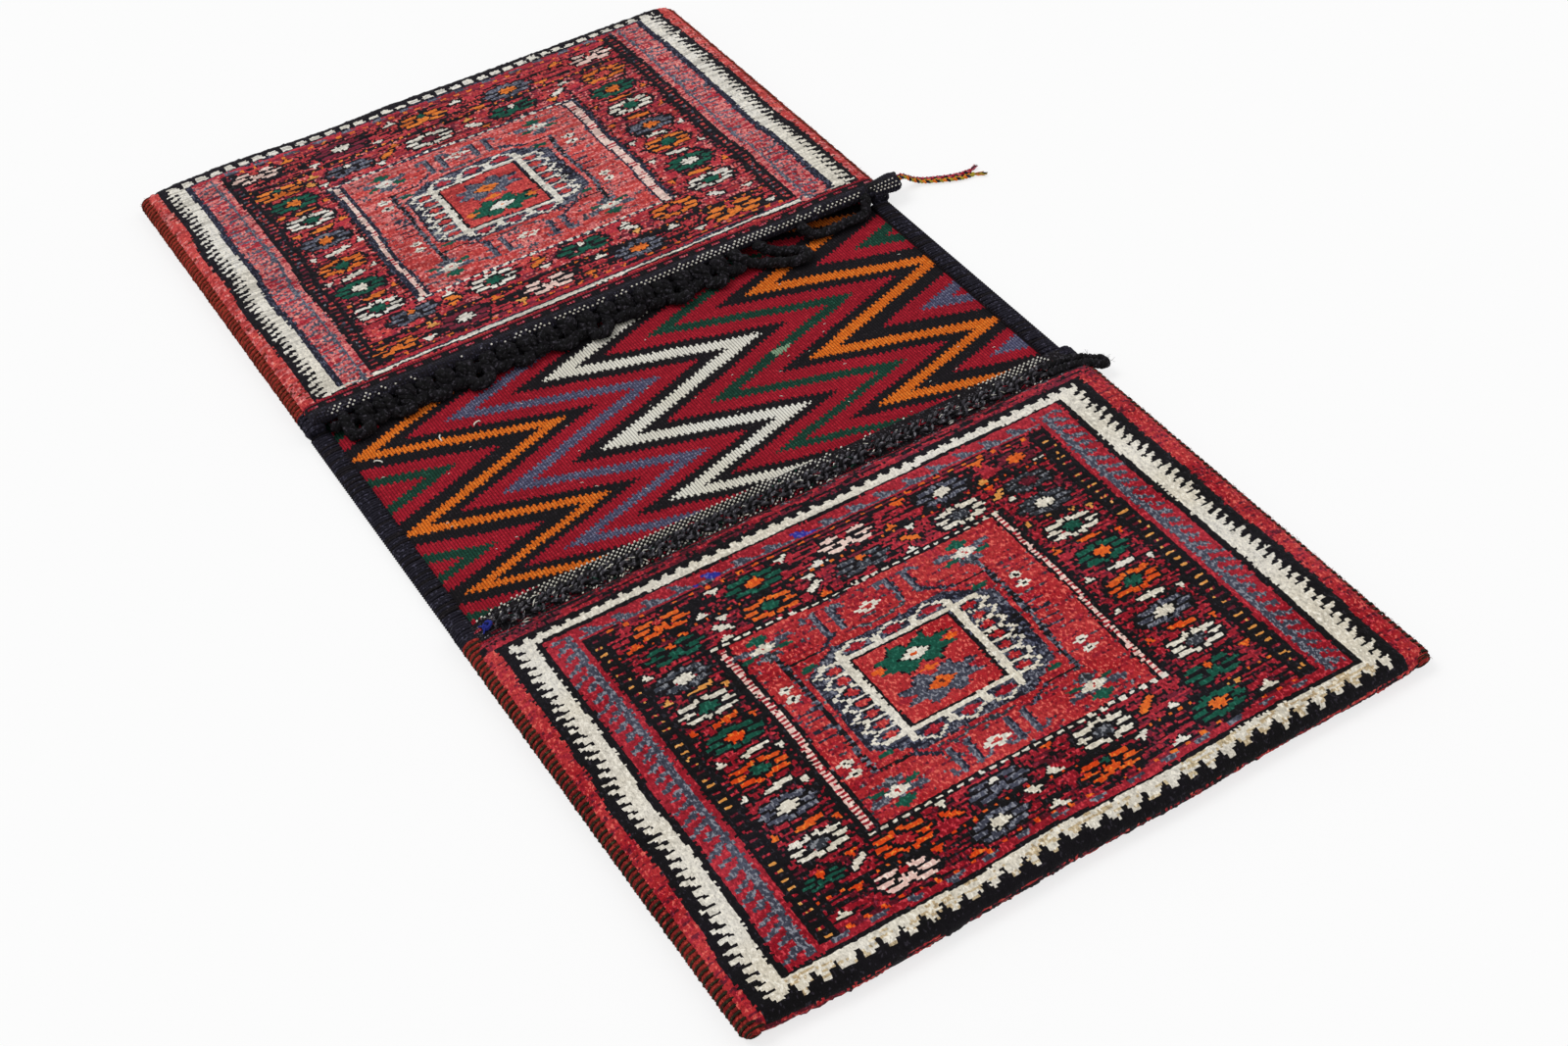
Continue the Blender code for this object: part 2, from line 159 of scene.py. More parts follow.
class NodeSheet:
    """A short hand for laying out the nodes of one material."""

    def __init__(self, name: str) -> None:
        """Start a material that holds a Principled shader and its output.

        Args:
            name: The name of the material.
        """
        self.material = bpy.data.materials.new(name)
        self.material.use_nodes = True
        self.tree = self.material.node_tree
        self.shader = self.tree.nodes["Principled BSDF"]
        self.place = self.add("ShaderNodeTexCoord").outputs["Object"]

    def add(self, kind: str, **settings: object) -> bpy.types.Node:
        """Add a node.

        Args:
            kind: Blender's own name of the node type.
            **settings: Properties to set on the node.

        Returns:
            The new node.
        """
        node = self.tree.nodes.new(kind)
        for key, value in settings.items():
            setattr(node, key, value)
        return node

    def link(self, source: Socket, target: Socket) -> None:
        """Join two sockets."""
        self.tree.links.new(source, target)

    def noise(self, scale: Point, detail: float = 2.0, roughness: float = 0.5) -> Socket:
        """Noise over the object's own place, with its own scale on each axis.

        Args:
            scale: How many times a metre is divided along X, Y and Z.
            detail: How many finer layers the noise has.
            roughness: How strong the finer layers are.

        Returns:
            The noise, from 0 to 1.
        """
        stretch = self.add("ShaderNodeMapping")
        stretch.inputs["Scale"].default_value = scale
        self.link(self.place, stretch.inputs["Vector"])
        noise = self.add("ShaderNodeTexNoise")
        noise.inputs["Scale"].default_value = 1.0
        noise.inputs["Detail"].default_value = detail
        noise.inputs["Roughness"].default_value = roughness
        self.link(stretch.outputs["Vector"], noise.inputs["Vector"])
        return noise.outputs["Fac"]

    def spread(
        self, value: Socket, low: float, high: float, to_low: float = 0.0, to_high: float = 1.0
    ) -> Socket:
        """Stretch a range of values onto another one, clamped.

        Args:
            value: The value to read.
            low: The value that becomes to_low.
            high: The value that becomes to_high.
            to_low: The lowest result.
            to_high: The highest result.

        Returns:
            The stretched value.
        """
        node = self.add("ShaderNodeMapRange")
        self.link(value, node.inputs["Value"])
        for name, number in (("From Min", low), ("From Max", high), ("To Min", to_low), ("To Max", to_high)):
            node.inputs[name].default_value = number
        return node.outputs["Result"]

    def blend(
        self, share: Socket, first: Rgb | Socket, second: Rgb | Socket
    ) -> Socket:
        """Blend two colours.

        Args:
            share: How much of the second colour shows.
            first: A colour, or a socket that gives one.
            second: A colour, or a socket that gives one.

        Returns:
            The blended colour.
        """
        node = self.add("ShaderNodeMix", data_type="RGBA")
        self.link(share, node.inputs["Factor"])
        for socket, colour in ((node.inputs[6], first), (node.inputs[7], second)):
            if isinstance(colour, Socket):
                self.link(colour, socket)
            else:
                socket.default_value = (*colour, 1.0)
        return node.outputs[2]

    def times(self, first: Socket, second: Socket | float) -> Socket:
        """Multiply a value by another value or by a number."""
        node = self.add("ShaderNodeMath", operation="MULTIPLY")
        self.link(first, node.inputs[0])
        if isinstance(second, float):
            node.inputs[1].default_value = second
        else:
            self.link(second, node.inputs[1])
        return node.outputs[0]

    def bump(self, height: Socket, strength: float, depth: float) -> None:
        """Roughen the surface by a height.

        Args:
            height: The height to follow.
            strength: How much of the bump shows, from 0 to 1.
            depth: The height of the bump in metres.
        """
        node = self.add("ShaderNodeBump")
        node.inputs["Strength"].default_value = strength
        node.inputs["Distance"].default_value = depth
        self.link(height, node.inputs["Height"])
        self.link(node.outputs["Normal"], self.shader.inputs["Normal"])


@dataclass(frozen=True)
class YarnFinish:
    """One dyed yarn: its colour on the near face, its colour on the far one, and what is spun into it.

    The two colours are a shaded and a lit copy of one dye: the pile leans towards the far end, and the far
    face's paler colour is painted sheen on the sides of the tufts.
    """

    label: str
    near: Screen
    far: Screen
    # How deep the painted shade in the hollows between tufts and fibres goes.
    dark: float = 0.45
    # The paler fibres spun into the yarn, which also paint highlights on the tuft tips.
    fleck_and_highlight: Screen | None = None
    fleck_and_highlight_share: float = 0.0

    def material(self, cloth: Cloth) -> Material:
        """Make the yarn's material for one way of working it.

        Args:
            cloth: How the yarn is worked.

        Returns:
            The material.
        """
        grain = GRAINS[cloth]
        sheet = NodeSheet(f"{self.label}_{cloth.value}")
        axes = sheet.add("ShaderNodeSeparateXYZ")
        sheet.link(sheet.place, axes.inputs[0])
        # Painted sheen: from the near face to the far one, the colour runs from the dye's shaded copy to its
        # lit copy.
        lean = sheet.spread(axes.outputs["Y"], -0.35, 0.5)
        patches = sheet.spread(sheet.noise(grain.band_scale, 2.0, 0.6), 0.35, 0.65)
        worn = sheet.spread(sheet.noise((9.0, 14.0, 9.0), 3.0), 0.4, 0.66)
        shade = sheet.blend(lean, linear(*self.near), linear(*self.far))
        shade = sheet.blend(sheet.times(patches, 0.4), shade, self.deepened(0.66))
        shade = sheet.blend(sheet.times(worn, 0.4), shade, self.lightened(1.3))
        fibres = sheet.noise(grain.fibre_scale, 2.5, 0.62)
        clumps = sheet.noise(grain.clump_scale, 1.5, 0.6)
        # Flecks of paler fibre, which also paint highlights on the tuft tips.
        if self.fleck_and_highlight is not None:
            edge = 0.64 - 0.2 * self.fleck_and_highlight_share
            shade = sheet.blend(sheet.spread(clumps, edge, edge + 0.05), shade, linear(*self.fleck_and_highlight))
        # Painted shade in the hollows between clumps of tufts and between fibres.
        shade = sheet.blend(sheet.spread(clumps, 0.3, 0.46, self.dark, 0.0), shade, self.deepened(0.22))
        shade = sheet.blend(sheet.spread(fibres, 0.3, 0.5, self.dark, 0.0), shade, self.deepened(0.22))
        # Painted shade in the grooves between rows of knots, stronger towards the far face.
        if grain.row_groove_shade:
            rows = sheet.spread(sheet.noise((22.0, 330.0, 22.0), 1.0), 0.5, 0.6, 0.0, grain.row_groove_shade)
            shade = sheet.blend(sheet.times(rows, lean), shade, self.deepened(0.3))
        # Painted shade in the valleys between the ribs of the flat weave.
        if grain.ribs:
            wave = sheet.add("ShaderNodeTexWave", bands_direction="X")
            wave.inputs["Scale"].default_value = RIB_SHADE_WAVE
            sheet.link(sheet.place, wave.inputs["Vector"])
            between = sheet.spread(wave.outputs["Fac"], 0.0, 0.45, grain.ribs, 0.0)
            shade = sheet.blend(between, shade, self.deepened(0.2))
        sheet.link(shade, sheet.shader.inputs["Base Color"])
        rough = sheet.spread(fibres, 0.2, 0.8, grain.roughness - 0.08, min(1.0, grain.roughness + 0.05))
        sheet.link(rough, sheet.shader.inputs["Roughness"])
        sheet.shader.inputs["Sheen Weight"].default_value = grain.sheen
        sheet.shader.inputs["Sheen Roughness"].default_value = 0.5
        sheet.shader.inputs["Specular IOR Level"].default_value = 0.12
        sheet.bump(fibres, grain.bump, grain.bump_depth)
        return sheet.material

    def deepened(self, share: float) -> Rgb:
        """The near shade, darkened to a share of its light."""
        r, g, b = (value * share for value in linear(*self.near))
        return (r, g, b)

    def lightened(self, share: float) -> Rgb:
        """The far shade, brightened to a share of its light."""
        r, g, b = (min(0.9, value * share) for value in linear(*self.far))
        return (r, g, b)


# Each yarn's far colour paints the sheen of the far face's pile, and its near colour the shade of the near
# face's pile.
YARNS = {
    CREAM: YarnFinish("cream", (224, 215, 196), (236, 231, 220), 0.42, (244, 238, 224), 0.4),
    COAL: YarnFinish("coal", (9, 7, 9), (24, 20, 28), 0.45, (44, 40, 48), 0.12),
    NIGHT: YarnFinish("night_blue", (26, 26, 38), (42, 42, 60), 0.5, (92, 96, 116), 0.4),
    MADDER: YarnFinish("madder", (172, 26, 36), (206, 78, 76), 0.6, (228, 104, 92), 0.36),
    CRIMSON: YarnFinish("crimson", (146, 14, 32), (186, 58, 72), 0.6, (206, 60, 70), 0.36),
    WINE: YarnFinish("wine", (84, 10, 26), (132, 46, 66), 0.5, (140, 40, 60), 0.3),
    ROSE: YarnFinish("rose", (236, 196, 184), (240, 204, 194), 0.25, (248, 226, 214), 0.4),
    ORANGE: YarnFinish("orange", (222, 66, 14), (238, 138, 60), 0.4, (240, 128, 44), 0.3),
    OCHRE: YarnFinish("ochre", (224, 148, 70), (230, 158, 84), 0.3, (240, 180, 110), 0.3),
    GREEN: YarnFinish("green", (16, 76, 60), (24, 92, 74), 0.55, (44, 112, 92), 0.25),
    HEATHER: YarnFinish("heather", (62, 64, 78), (94, 98, 116), 0.6, (136, 138, 148), 0.55),
    SLATE: YarnFinish("slate", (48, 50, 56), (72, 78, 92), 0.6, (134, 136, 142), 0.5),
    ROYAL: YarnFinish("royal_blue", (44, 44, 150), (56, 60, 156), 0.4, (96, 100, 170), 0.3),
    RUST: YarnFinish("rust_brown", (92, 34, 24), (108, 42, 30), 0.4, (60, 44, 30), 0.3),
    BLUSH: YarnFinish("blush", (206, 84, 92), (226, 128, 126), 0.5, (240, 162, 150), 0.45),
    TAN: YarnFinish("tan", (196, 172, 134), (222, 206, 174), 0.6, (236, 224, 200), 0.4),
}

# Here too the far colour is a lit copy of the near one, with painted sheen.
FLAT_YARNS = {
    CREAM: YarnFinish("cream_weft", (232, 228, 212), (234, 229, 216), 0.25),
    COAL: YarnFinish("coal_weft", (20, 17, 20), (24, 20, 25), 0.4, (50, 44, 48), 0.1),
    NIGHT: YarnFinish("night_weft", (30, 28, 38), (30, 28, 38), 0.5, (70, 68, 84), 0.25),
    MADDER: YarnFinish("red_weft", (154, 18, 38), (166, 26, 44), 0.5, (192, 44, 56), 0.2),
    CRIMSON: YarnFinish("crimson_weft", (134, 18, 34), (146, 30, 46), 0.5, (176, 50, 66), 0.3),
    WINE: YarnFinish("wine_weft", (92, 14, 30), (104, 26, 40), 0.4),
    ROSE: YarnFinish("rose_weft", (190, 86, 100), (190, 86, 104), 0.4, (206, 130, 134), 0.3),
    ORANGE: YarnFinish("orange_weft", (224, 106, 26), (228, 112, 32), 0.4, (240, 140, 54), 0.3),
    OCHRE: YarnFinish("ochre_weft", (205, 140, 70), (205, 140, 70), 0.3),
    GREEN: YarnFinish("green_weft", (20, 60, 46), (22, 64, 50), 0.45, (44, 92, 74), 0.2),
    HEATHER: YarnFinish("heather_weft", (76, 76, 104), (82, 82, 110), 0.4, (124, 124, 148), 0.45),
    SLATE: YarnFinish("slate_weft", (64, 62, 68), (70, 68, 74), 0.5, (128, 126, 132), 0.4),
    ROYAL: YarnFinish("royal_weft", (40, 48, 134), (40, 48, 134), 0.4),
    RUST: YarnFinish("faded_weft", (136, 166, 134), (136, 166, 134), 0.3),
    BLUSH: YarnFinish("blush_weft", (200, 90, 96), (200, 90, 96), 0.3),
    TAN: YarnFinish("tan_weft", (196, 170, 128), (196, 170, 128), 0.3),
}

# The near and far colours below are also shaded and lit copies of one dye.
OLIVE = YarnFinish("olive_weft", (168, 150, 52), (168, 150, 52), 0.4)
GOAT_HAIR = YarnFinish("goat_hair", (13, 12, 14), (15, 14, 16), 0.5, (52, 50, 56), 0.3)
GREY_HAIR = YarnFinish("grey_goat_hair", (24, 22, 26), (20, 18, 22), 0.5, (66, 63, 70), 0.3)
WHIPPING = {
    MADDER: YarnFinish("whipping_red", (120, 24, 26), (160, 52, 42), 0.6, (180, 60, 50), 0.35),
    RUST: YarnFinish("whipping_brown", (70, 30, 20), (104, 44, 26), 0.6, (150, 66, 44), 0.3),
    GREEN: YarnFinish("whipping_green", (30, 34, 22), (50, 36, 24), 0.5, (72, 64, 42), 0.2),
}


class Dresser:
    """Makes each material once and puts sets of them on meshes."""

    def __init__(self) -> None:
        """Start with no material made."""
        self.made: dict[tuple[str, Cloth], Material] = {}

    def one(self, yarn: YarnFinish, cloth: Cloth) -> Material:
        """The material of one yarn, worked one way."""
        key = (yarn.label, cloth)
        if key not in self.made:
            self.made[key] = yarn.material(cloth)
        return self.made[key]

    def wools(self, yarns: dict[Wool, YarnFinish], cloth: Cloth) -> list[Material]:
        """The materials of a whole set of yarns, in the order of Wool."""
        return [self.one(yarns[wool], cloth) for wool in Wool]

    def cords(self, *yarns: Wool | YarnFinish) -> list[Material]:
        """The materials of yarns worked as cord, where a wool stands for its flat-weave yarn."""
        return [self.one(FLAT_YARNS[yarn] if isinstance(yarn, Wool) else yarn, Cloth.CORD) for yarn in yarns]


DRESSER = Dresser()


def keep_used(mesh: bpy.types.Mesh, materials: Sequence[Material], picks: Array) -> None:
    """Give a mesh only the materials that its faces use.

    Args:
        mesh: The mesh to dress.
        materials: The materials that the picks count in.
        picks: The material of each face.
    """
    used, places = np.unique(picks, return_inverse=True)
    for index in used:
        mesh.materials.append(materials[int(index)])
    mesh.polygons.foreach_set("material_index", places.astype(np.int32).ravel())


def placed(name: str, data: bpy.types.ID) -> Piece:
    """A linked object that shows a mesh, a camera or a lamp."""
    item = bpy.data.objects.new(name, data)
    bpy.context.scene.collection.objects.link(item)
    return item


def finished(name: str, mesh: bpy.types.Mesh, slot: str, *nodes: str) -> Piece:
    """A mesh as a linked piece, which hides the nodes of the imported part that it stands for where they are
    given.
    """
    item = placed(name, mesh)
    if nodes:
        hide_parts(*nodes)
    return item


def cloth_mesh(
    name: str,
    points: Array,
    picks: Array,
    materials: Sequence[Material],
    slot: str = "wool_pile",
    flip: bool = False,
) -> Piece:
    """Make a grid of points into a mesh, with one material to each cell.

    Args:
        name: The name of the object and its mesh.
        points: The points, rows by columns by three.
        picks: The material of each cell, one less each way than the points.
        materials: The materials that the picks count in.
        slot: Not used.
        flip: Whether the faces turn the other way.

    Returns:
        The linked object.
    """
    rows, columns = points.shape[:2]
    mesh = bpy.data.meshes.new(name)
    mesh.vertices.add(rows * columns)
    mesh.vertices.foreach_set("co", points.astype(np.float32).ravel())
    corner = (np.arange(rows - 1)[:, None] * columns + np.arange(columns - 1)[None, :]).ravel()
    ring = [corner, corner + 1, corner + columns + 1, corner + columns]
    if flip:
        ring.reverse()
    loops = np.stack(ring, axis=1)
    mesh.loops.add(loops.size)
    mesh.loops.foreach_set("vertex_index", loops.astype(np.int32).ravel())
    mesh.polygons.add(len(loops))
    mesh.polygons.foreach_set("loop_start", np.arange(0, loops.size, 4, dtype=np.int32))
    keep_used(mesh, materials, picks.ravel())
    side = max(rows, columns) - 1
    spots = np.stack([loops % columns, loops // columns], axis=2) / side
    mesh.uv_layers.new(name="OFBake").data.foreach_set("uv", spots.astype(np.float32).ravel())
    mesh.update(calc_edges=True)
    mesh.shade_smooth()
    return finished(name, mesh, slot)


def smooth_noise(rng: Generator, rows: int, columns: int, cell: int, across: int = 0) -> Array:
    """Soft noise on a grid, from about -1 to 1.

    Args:
        rng: The seeded source of numbers.
        rows: How many rows the grid has.
        columns: How many columns the grid has.
        cell: How many grid steps apart the peaks lie.
        across: The same along a row, where it differs.

    Returns:
        The noise, rows by columns.
    """
    across = across or cell
    coarse = rng.uniform(-1, 1, (rows // cell + 3, columns // across + 3))
    row = np.arange(rows) / cell
    column = np.arange(columns) / across
    i, j = row.astype(int), column.astype(int)
    u, v = row - i, column - j
    u, v = (u * u * (3 - 2 * u))[:, None], (v * v * (3 - 2 * v))[None, :]
    top = coarse[np.ix_(i, j)] * (1 - v) + coarse[np.ix_(i, j + 1)] * v
    low = coarse[np.ix_(i + 1, j)] * (1 - v) + coarse[np.ix_(i + 1, j + 1)] * v
    return top * (1 - u) + low * u


class StrandBundle:
    """Many round strands gathered into one mesh."""

    def __init__(self) -> None:
        """Start with no strand."""
        self.points: list[Array] = []
        self.faces: list[tuple[int, ...]] = []
        self.picks: list[int] = []
        self.count = 0

    def add(self, path: Array, radius: float | Array, sides: int = 6, pick: int = 0) -> None:
        """Add one strand with closed ends.

        Args:
            path: The points down the middle of the strand.
            radius: Its radius, or one for each point.
            sides: How many faces go round it.
            pick: The material that it takes.
        """
        path = np.asarray(path, float)
        radii = np.broadcast_to(np.asarray(radius, float), (len(path),))
        ahead = np.gradient(path, axis=0)
        ahead /= np.linalg.norm(ahead, axis=1)[:, None] + 1e-12
        helper = np.array([0.0, 0.0, 1.0]) if abs(ahead[0][2]) < 0.9 else np.array([1.0, 0.0, 0.0])
        across = np.cross(ahead[0], helper)
        turn = 2 * np.pi * (np.arange(sides) + 0.5) / sides
        rings = []
        for point, heading, thick in zip(path, ahead, radii):
            across = across - heading * (across @ heading)
            across = across / (np.linalg.norm(across) + 1e-12)
            up = np.cross(heading, across)
            ring = point + (np.outer(np.cos(turn), across) + np.outer(np.sin(turn), up)) * thick
            rings.append(ring)
        first = self.count
        self.points.append(np.concatenate(rings))
        for i in range(len(path) - 1):
            for k in range(sides):
                a, b = first + i * sides + k, first + i * sides + (k + 1) % sides
                self.faces.append((a, b, b + sides, a + sides))
        last = first + (len(path) - 1) * sides
        self.faces.append(tuple(range(first + sides - 1, first - 1, -1)))
        self.faces.append(tuple(range(last, last + sides)))
        self.picks.extend([pick] * ((len(path) - 1) * sides + 2))
        self.count += len(path) * sides

    def stitch(self, top: Array, half: Array, low: Array, thick: Spot, pick: int) -> None:
        """Add one short stitch.

        Args:
            top: The middle of its back.
            half: From there to one end.
            low: How far its ends go in.
            thick: Its radius at the ends and in the middle.
            pick: The material that it takes.
        """
        path = np.array([top - half - low, top - half * 0.4, top + half * 0.4, top + half - low])
        self.add(path, [thick[0], thick[1], thick[1], thick[0]], 5, pick)

    def build(self, name: str, materials: Sequence[Material], slot: str, *nodes: str) -> Piece:
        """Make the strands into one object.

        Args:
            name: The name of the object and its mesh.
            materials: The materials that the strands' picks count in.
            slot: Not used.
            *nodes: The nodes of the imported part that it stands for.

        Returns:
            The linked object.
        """
        mesh = bpy.data.meshes.new(name)
        mesh.from_pydata(np.concatenate(self.points).tolist(), [], self.faces)
        keep_used(mesh, materials, np.array(self.picks))
        mesh.update(calc_edges=True)
        mesh.shade_smooth()
        return finished(name, mesh, slot, *nodes)


def rounded_path(points: Sequence[Point], steps: int) -> Array:
    """Points on one smooth curve through a route's own points.

    Args:
        points: The points to pass through.
        steps: How many pieces each span is cut into.

    Returns:
        The points of the curve.
    """
    route = np.array(points, float)
    padded = np.vstack([2 * route[0] - route[1], route, 2 * route[-1] - route[-2]])
    t = (np.arange(steps) / steps)[:, None]
    spans = []
    for before, start, end, after in zip(padded, padded[1:], padded[2:], padded[3:]):
        bend = (2 * before - 5 * start + 4 * end - after) * t**2
        twist = (3 * start - 3 * end + after - before) * t**3
        spans.append(0.5 * (2 * start + (end - before) * t + bend + twist))
    return np.vstack([*spans, route[-1]])


def lengths_along(path: Array) -> Array:
    """How far along a path each of its points lies."""
    return np.concatenate([[0.0], np.cumsum(np.linalg.norm(np.diff(path, axis=0), axis=1))])


def frame_along(path: Array) -> tuple[Array, Array]:
    """The sideways and the upward direction at each point of a path."""
    ahead = np.gradient(path, axis=0)
    ahead /= np.linalg.norm(ahead, axis=1)[:, None] + 1e-12
    side = np.cross(ahead, np.array([0.0, 0.0, 1.0]))
    side /= np.linalg.norm(side, axis=1)[:, None] + 1e-9
    return side, np.cross(side, ahead)


def plied(path: Array, share: float, offset: float, lay: float) -> Array:
    """The route of one strand that is twisted with others round a path.

    Args:
        path: The path that the strands go round.
        share: How much of a turn the strand starts ahead.
        offset: How far its middle lies from the path.
        lay: How far along the path one whole turn takes.

    Returns:
        The strand's points.
    """
    side, up = frame_along(path)
    turn = 2 * np.pi * (lengths_along(path) / lay + share)
    return path + offset * (side * np.cos(turn)[:, None] + up * np.sin(turn)[:, None])


def plaited(path: Array, strand: int, offset: float, lay: float) -> Array:
    """The route of one of the three strands of a flat plait along a path.

    Args:
        path: The path that the plait follows.
        strand: Which of the three strands this is.
        offset: How far to the side a strand swings.
        lay: How far along the path one whole swing takes.

    Returns:
        The strand's points.
    """
    side, up = frame_along(path)
    turn = 2 * np.pi * (lengths_along(path) / lay + strand / 3)
    return path + offset * (side * np.sin(turn)[:, None] + up * 0.55 * np.sin(2 * turn)[:, None])


@dataclass(frozen=True)
class BagPlan:
    """The sizes that the pieces share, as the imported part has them."""

    half_weave: float = 0.288
    near_end: float = -0.5872
    near_mouth: float = -0.129
    far_mouth: float = 0.162
    far_end: float = 0.593
    back_thickness: float = 0.003
    ceiling: float = 0.015
    face_top: float = 0.024
    lip_length: float = 0.032
    lip_top: float = 0.019
    hem_radius: float = 0.006
    hem_neck: float = 0.004
    hem_centre_z: float = 0.0195

    @property
    def hem_centre_y(self) -> float:
        """Where the middle of the rolled hem lies along the strip."""
        return self.far_mouth + self.hem_radius

    def dip(self, x: Array) -> Array:
        """How far the cloth lies below its full height near the side seams."""
        slope = np.clip((np.abs(x) - 0.272) / 0.0175, 0, 1)
        turn = np.clip((np.abs(x) - 0.2895) / 0.0095, 0, 1)
        return 0.0012 * slope**2 + 0.006 * (1 - np.sqrt(1 - turn**2))


PLAN = BagPlan()


class KnotChart:
    """The pattern of one pile face, a wool to each knot.

    Columns are counted in knots from the middle of the face, and rows from the mouth.
    """

    def __init__(self, columns: int, rows: int, seed: int) -> None:
        """Start with a plain red face.

        Args:
            columns: How many knots go across.
            rows: How many rows of knots there are.
            seed: The seed of the weaver's unevenness.
        """
        rng = np.random.default_rng(seed)
        self.rng = rng
        self.knots = np.full((rows, columns), MADDER, dtype=np.int32)
        across = np.arange(columns)[None, :] - columns / 2 + 0.5
        down = np.arange(rows)[:, None] + 0.5
        self.c = across + 1.5 * smooth_noise(rng, rows, columns, 26, 60)
        self.c = self.c + rng.uniform(-0.2, 0.2, (rows, columns))
        self.c += rng.uniform(-0.35, 0.35, (rows, 1))
        self.r = down + 1.1 * smooth_noise(rng, rows, columns, 30) + rng.uniform(-0.1, 0.1, (rows, columns))
        self.grain = smooth_noise(rng, rows, columns, 1, 6) + 0.5 * rng.uniform(-1, 1, (rows, columns))

    def paint(self, mask: Array, wool: Wool) -> None:
        """Knot everything under a mask in one wool."""
        self.knots[mask] = int(wool)

    def mingle(self, mask: Array, wool: Wool, share: float) -> None:
        """Knot a scattered share of what is under a mask in one wool."""
        level = np.quantile(self.grain, 1 - share)
        self.knots[mask & (self.grain > level)] = int(wool)

    def block(self, c0: float, c1: float, r0: float, r1: float) -> Array:
        """The mask of an upright rectangle."""
        return (self.c >= c0) & (self.c < c1) & (self.r >= r0) & (self.r < r1)

    def lobe(self, c: float, r: float, half_c: float, half_r: float) -> Array:
        """The mask of a rounded lobe, as a petal is."""
        return (np.abs(self.c - c) / half_c) ** 1.7 + (np.abs(self.r - r) / half_r) ** 2.2 < 1

    def lozenge(self, c: float, r: float, half_c: float, half_r: float) -> Array:
        """The mask of a lozenge."""
        return np.abs(self.c - c) / half_c + np.abs(self.r - r) / half_r < 1

    def polygon(self, c: float, r: float, half_c: float, half_r: float, corners: Sequence[Spot]) -> Array:
        """The mask of a figure whose corners are given as shares of its half sizes."""
        u, v = (self.c - c) / half_c, (self.r - r) / half_r
        inside = np.zeros(self.knots.shape, bool)
        for (u0, v0), (u1, v1) in zip(corners, [*corners[1:], corners[0]]):
            if v0 == v1:
                continue
            crosses = (v0 > v) != (v1 > v)
            inside ^= crosses & (u < (u1 - u0) * (v - v0) / (v1 - v0) + u0)
        return inside

    def stroke(self, points: Sequence[Spot], thick: float) -> Array:
        """The mask of a line through points given as column and row."""
        mask = np.zeros(self.knots.shape, bool)
        for (c0, r0), (c1, r1) in zip(points, points[1:]):
            long = max((c1 - c0) ** 2 + (r1 - r0) ** 2, 1e-6)
            t = np.clip(((self.c - c0) * (c1 - c0) + (self.r - r0) * (r1 - r0)) / long, 0, 1)
            off_c, off_r = self.c - c0 - t * (c1 - c0), self.r - r0 - t * (r1 - r0)
            mask |= np.hypot(off_c * 0.8, off_r) < thick / 2
        return mask

    def teeth(
        self,
        along: Array,
        across: Array,
        start: float,
        reach: float,
        pitch: float,
        thick: float,
        slant: float = 0.0,
        taper: float = 0.0,
    ) -> Array:
        """The mask of a row of uneven teeth that stand on a line.

        Args:
            along: The knot places along the line.
            across: The knot places across the line.
            start: Where the teeth are rooted.
            reach: How far they stand out, negative for the other way.
            pitch: The step from tooth to tooth.
            thick: How thick a tooth is at its root.
            slant: How far a tooth leans for each knot that it stands out.
            taper: How much of its thickness a tooth loses at its tip.

        Returns:
            The mask.
        """
        place = (along + slant * np.abs(across - start)) / pitch
        index = np.floor(place).astype(int)
        uneven = self.rng.uniform(0.7, 1.12, int(index.max() - index.min()) + 1)[index - index.min()]
        out = (across - start) / reach
        width = thick / pitch * (1 - taper * np.clip(out, 0, 1))
        return (out >= 0) & (out < uneven) & (place - index < width)


def mirrored(corners: Sequence[Spot]) -> list[Spot]:
    """A figure's right half, completed with its left half."""
    return [*corners, *((-u, v) for u, v in reversed(corners))]


EIGHT_POINTS = mirrored(
    (
        (0.0, -0.56), (0.2, -0.86), (0.44, -1.0), (0.5, -0.52), (1.0, -0.42), (0.66, 0.0),
        (1.0, 0.44), (0.5, 0.5), (0.44, 1.0), (0.2, 0.86), (0.0, 0.56),
    )
)
OCTAGON = mirrored(((0.0, -1.0), (0.6, -1.0), (1.0, -0.66), (1.0, 0.66), (0.6, 1.0), (0.0, 1.0)))
CARTOUCHE = ((-1.0, 0.0), (-0.62, -1.0), (0.62, -1.0), (1.0, 0.0), (0.62, 1.0), (-0.62, 1.0), (-1.0, 0.0))


class Bloom(Enum):
    """The kinds of flower in the borders: each petal's place and half sizes, for one side."""

    BUTTERFLY = ((5.6, -3.3, 4.2, 1.05), (8.4, -0.1, 4.0, 1.0), (5.6, 3.1, 4.0, 1.05), (1.3, 0.8, 1.7, 2.2))
    ROSETTE = (
        (6.4, -3.2, 4.0, 1.1), (8.6, 0.1, 3.2, 1.0), (6.4, 3.3, 4.0, 1.1),
        (1.9, -4.3, 1.4, 1.1), (1.9, 4.4, 1.4, 1.1),
    )
    ASTER = (
        (5.9, -3.0, 3.9, 1.2), (8.6, 0.1, 3.6, 1.1), (5.9, 3.2, 3.9, 1.2),
        (2.0, -4.1, 1.8, 1.2), (2.0, 4.3, 1.8, 1.2),
    )


BUTTERFLY, ROSETTE, ASTER = Bloom


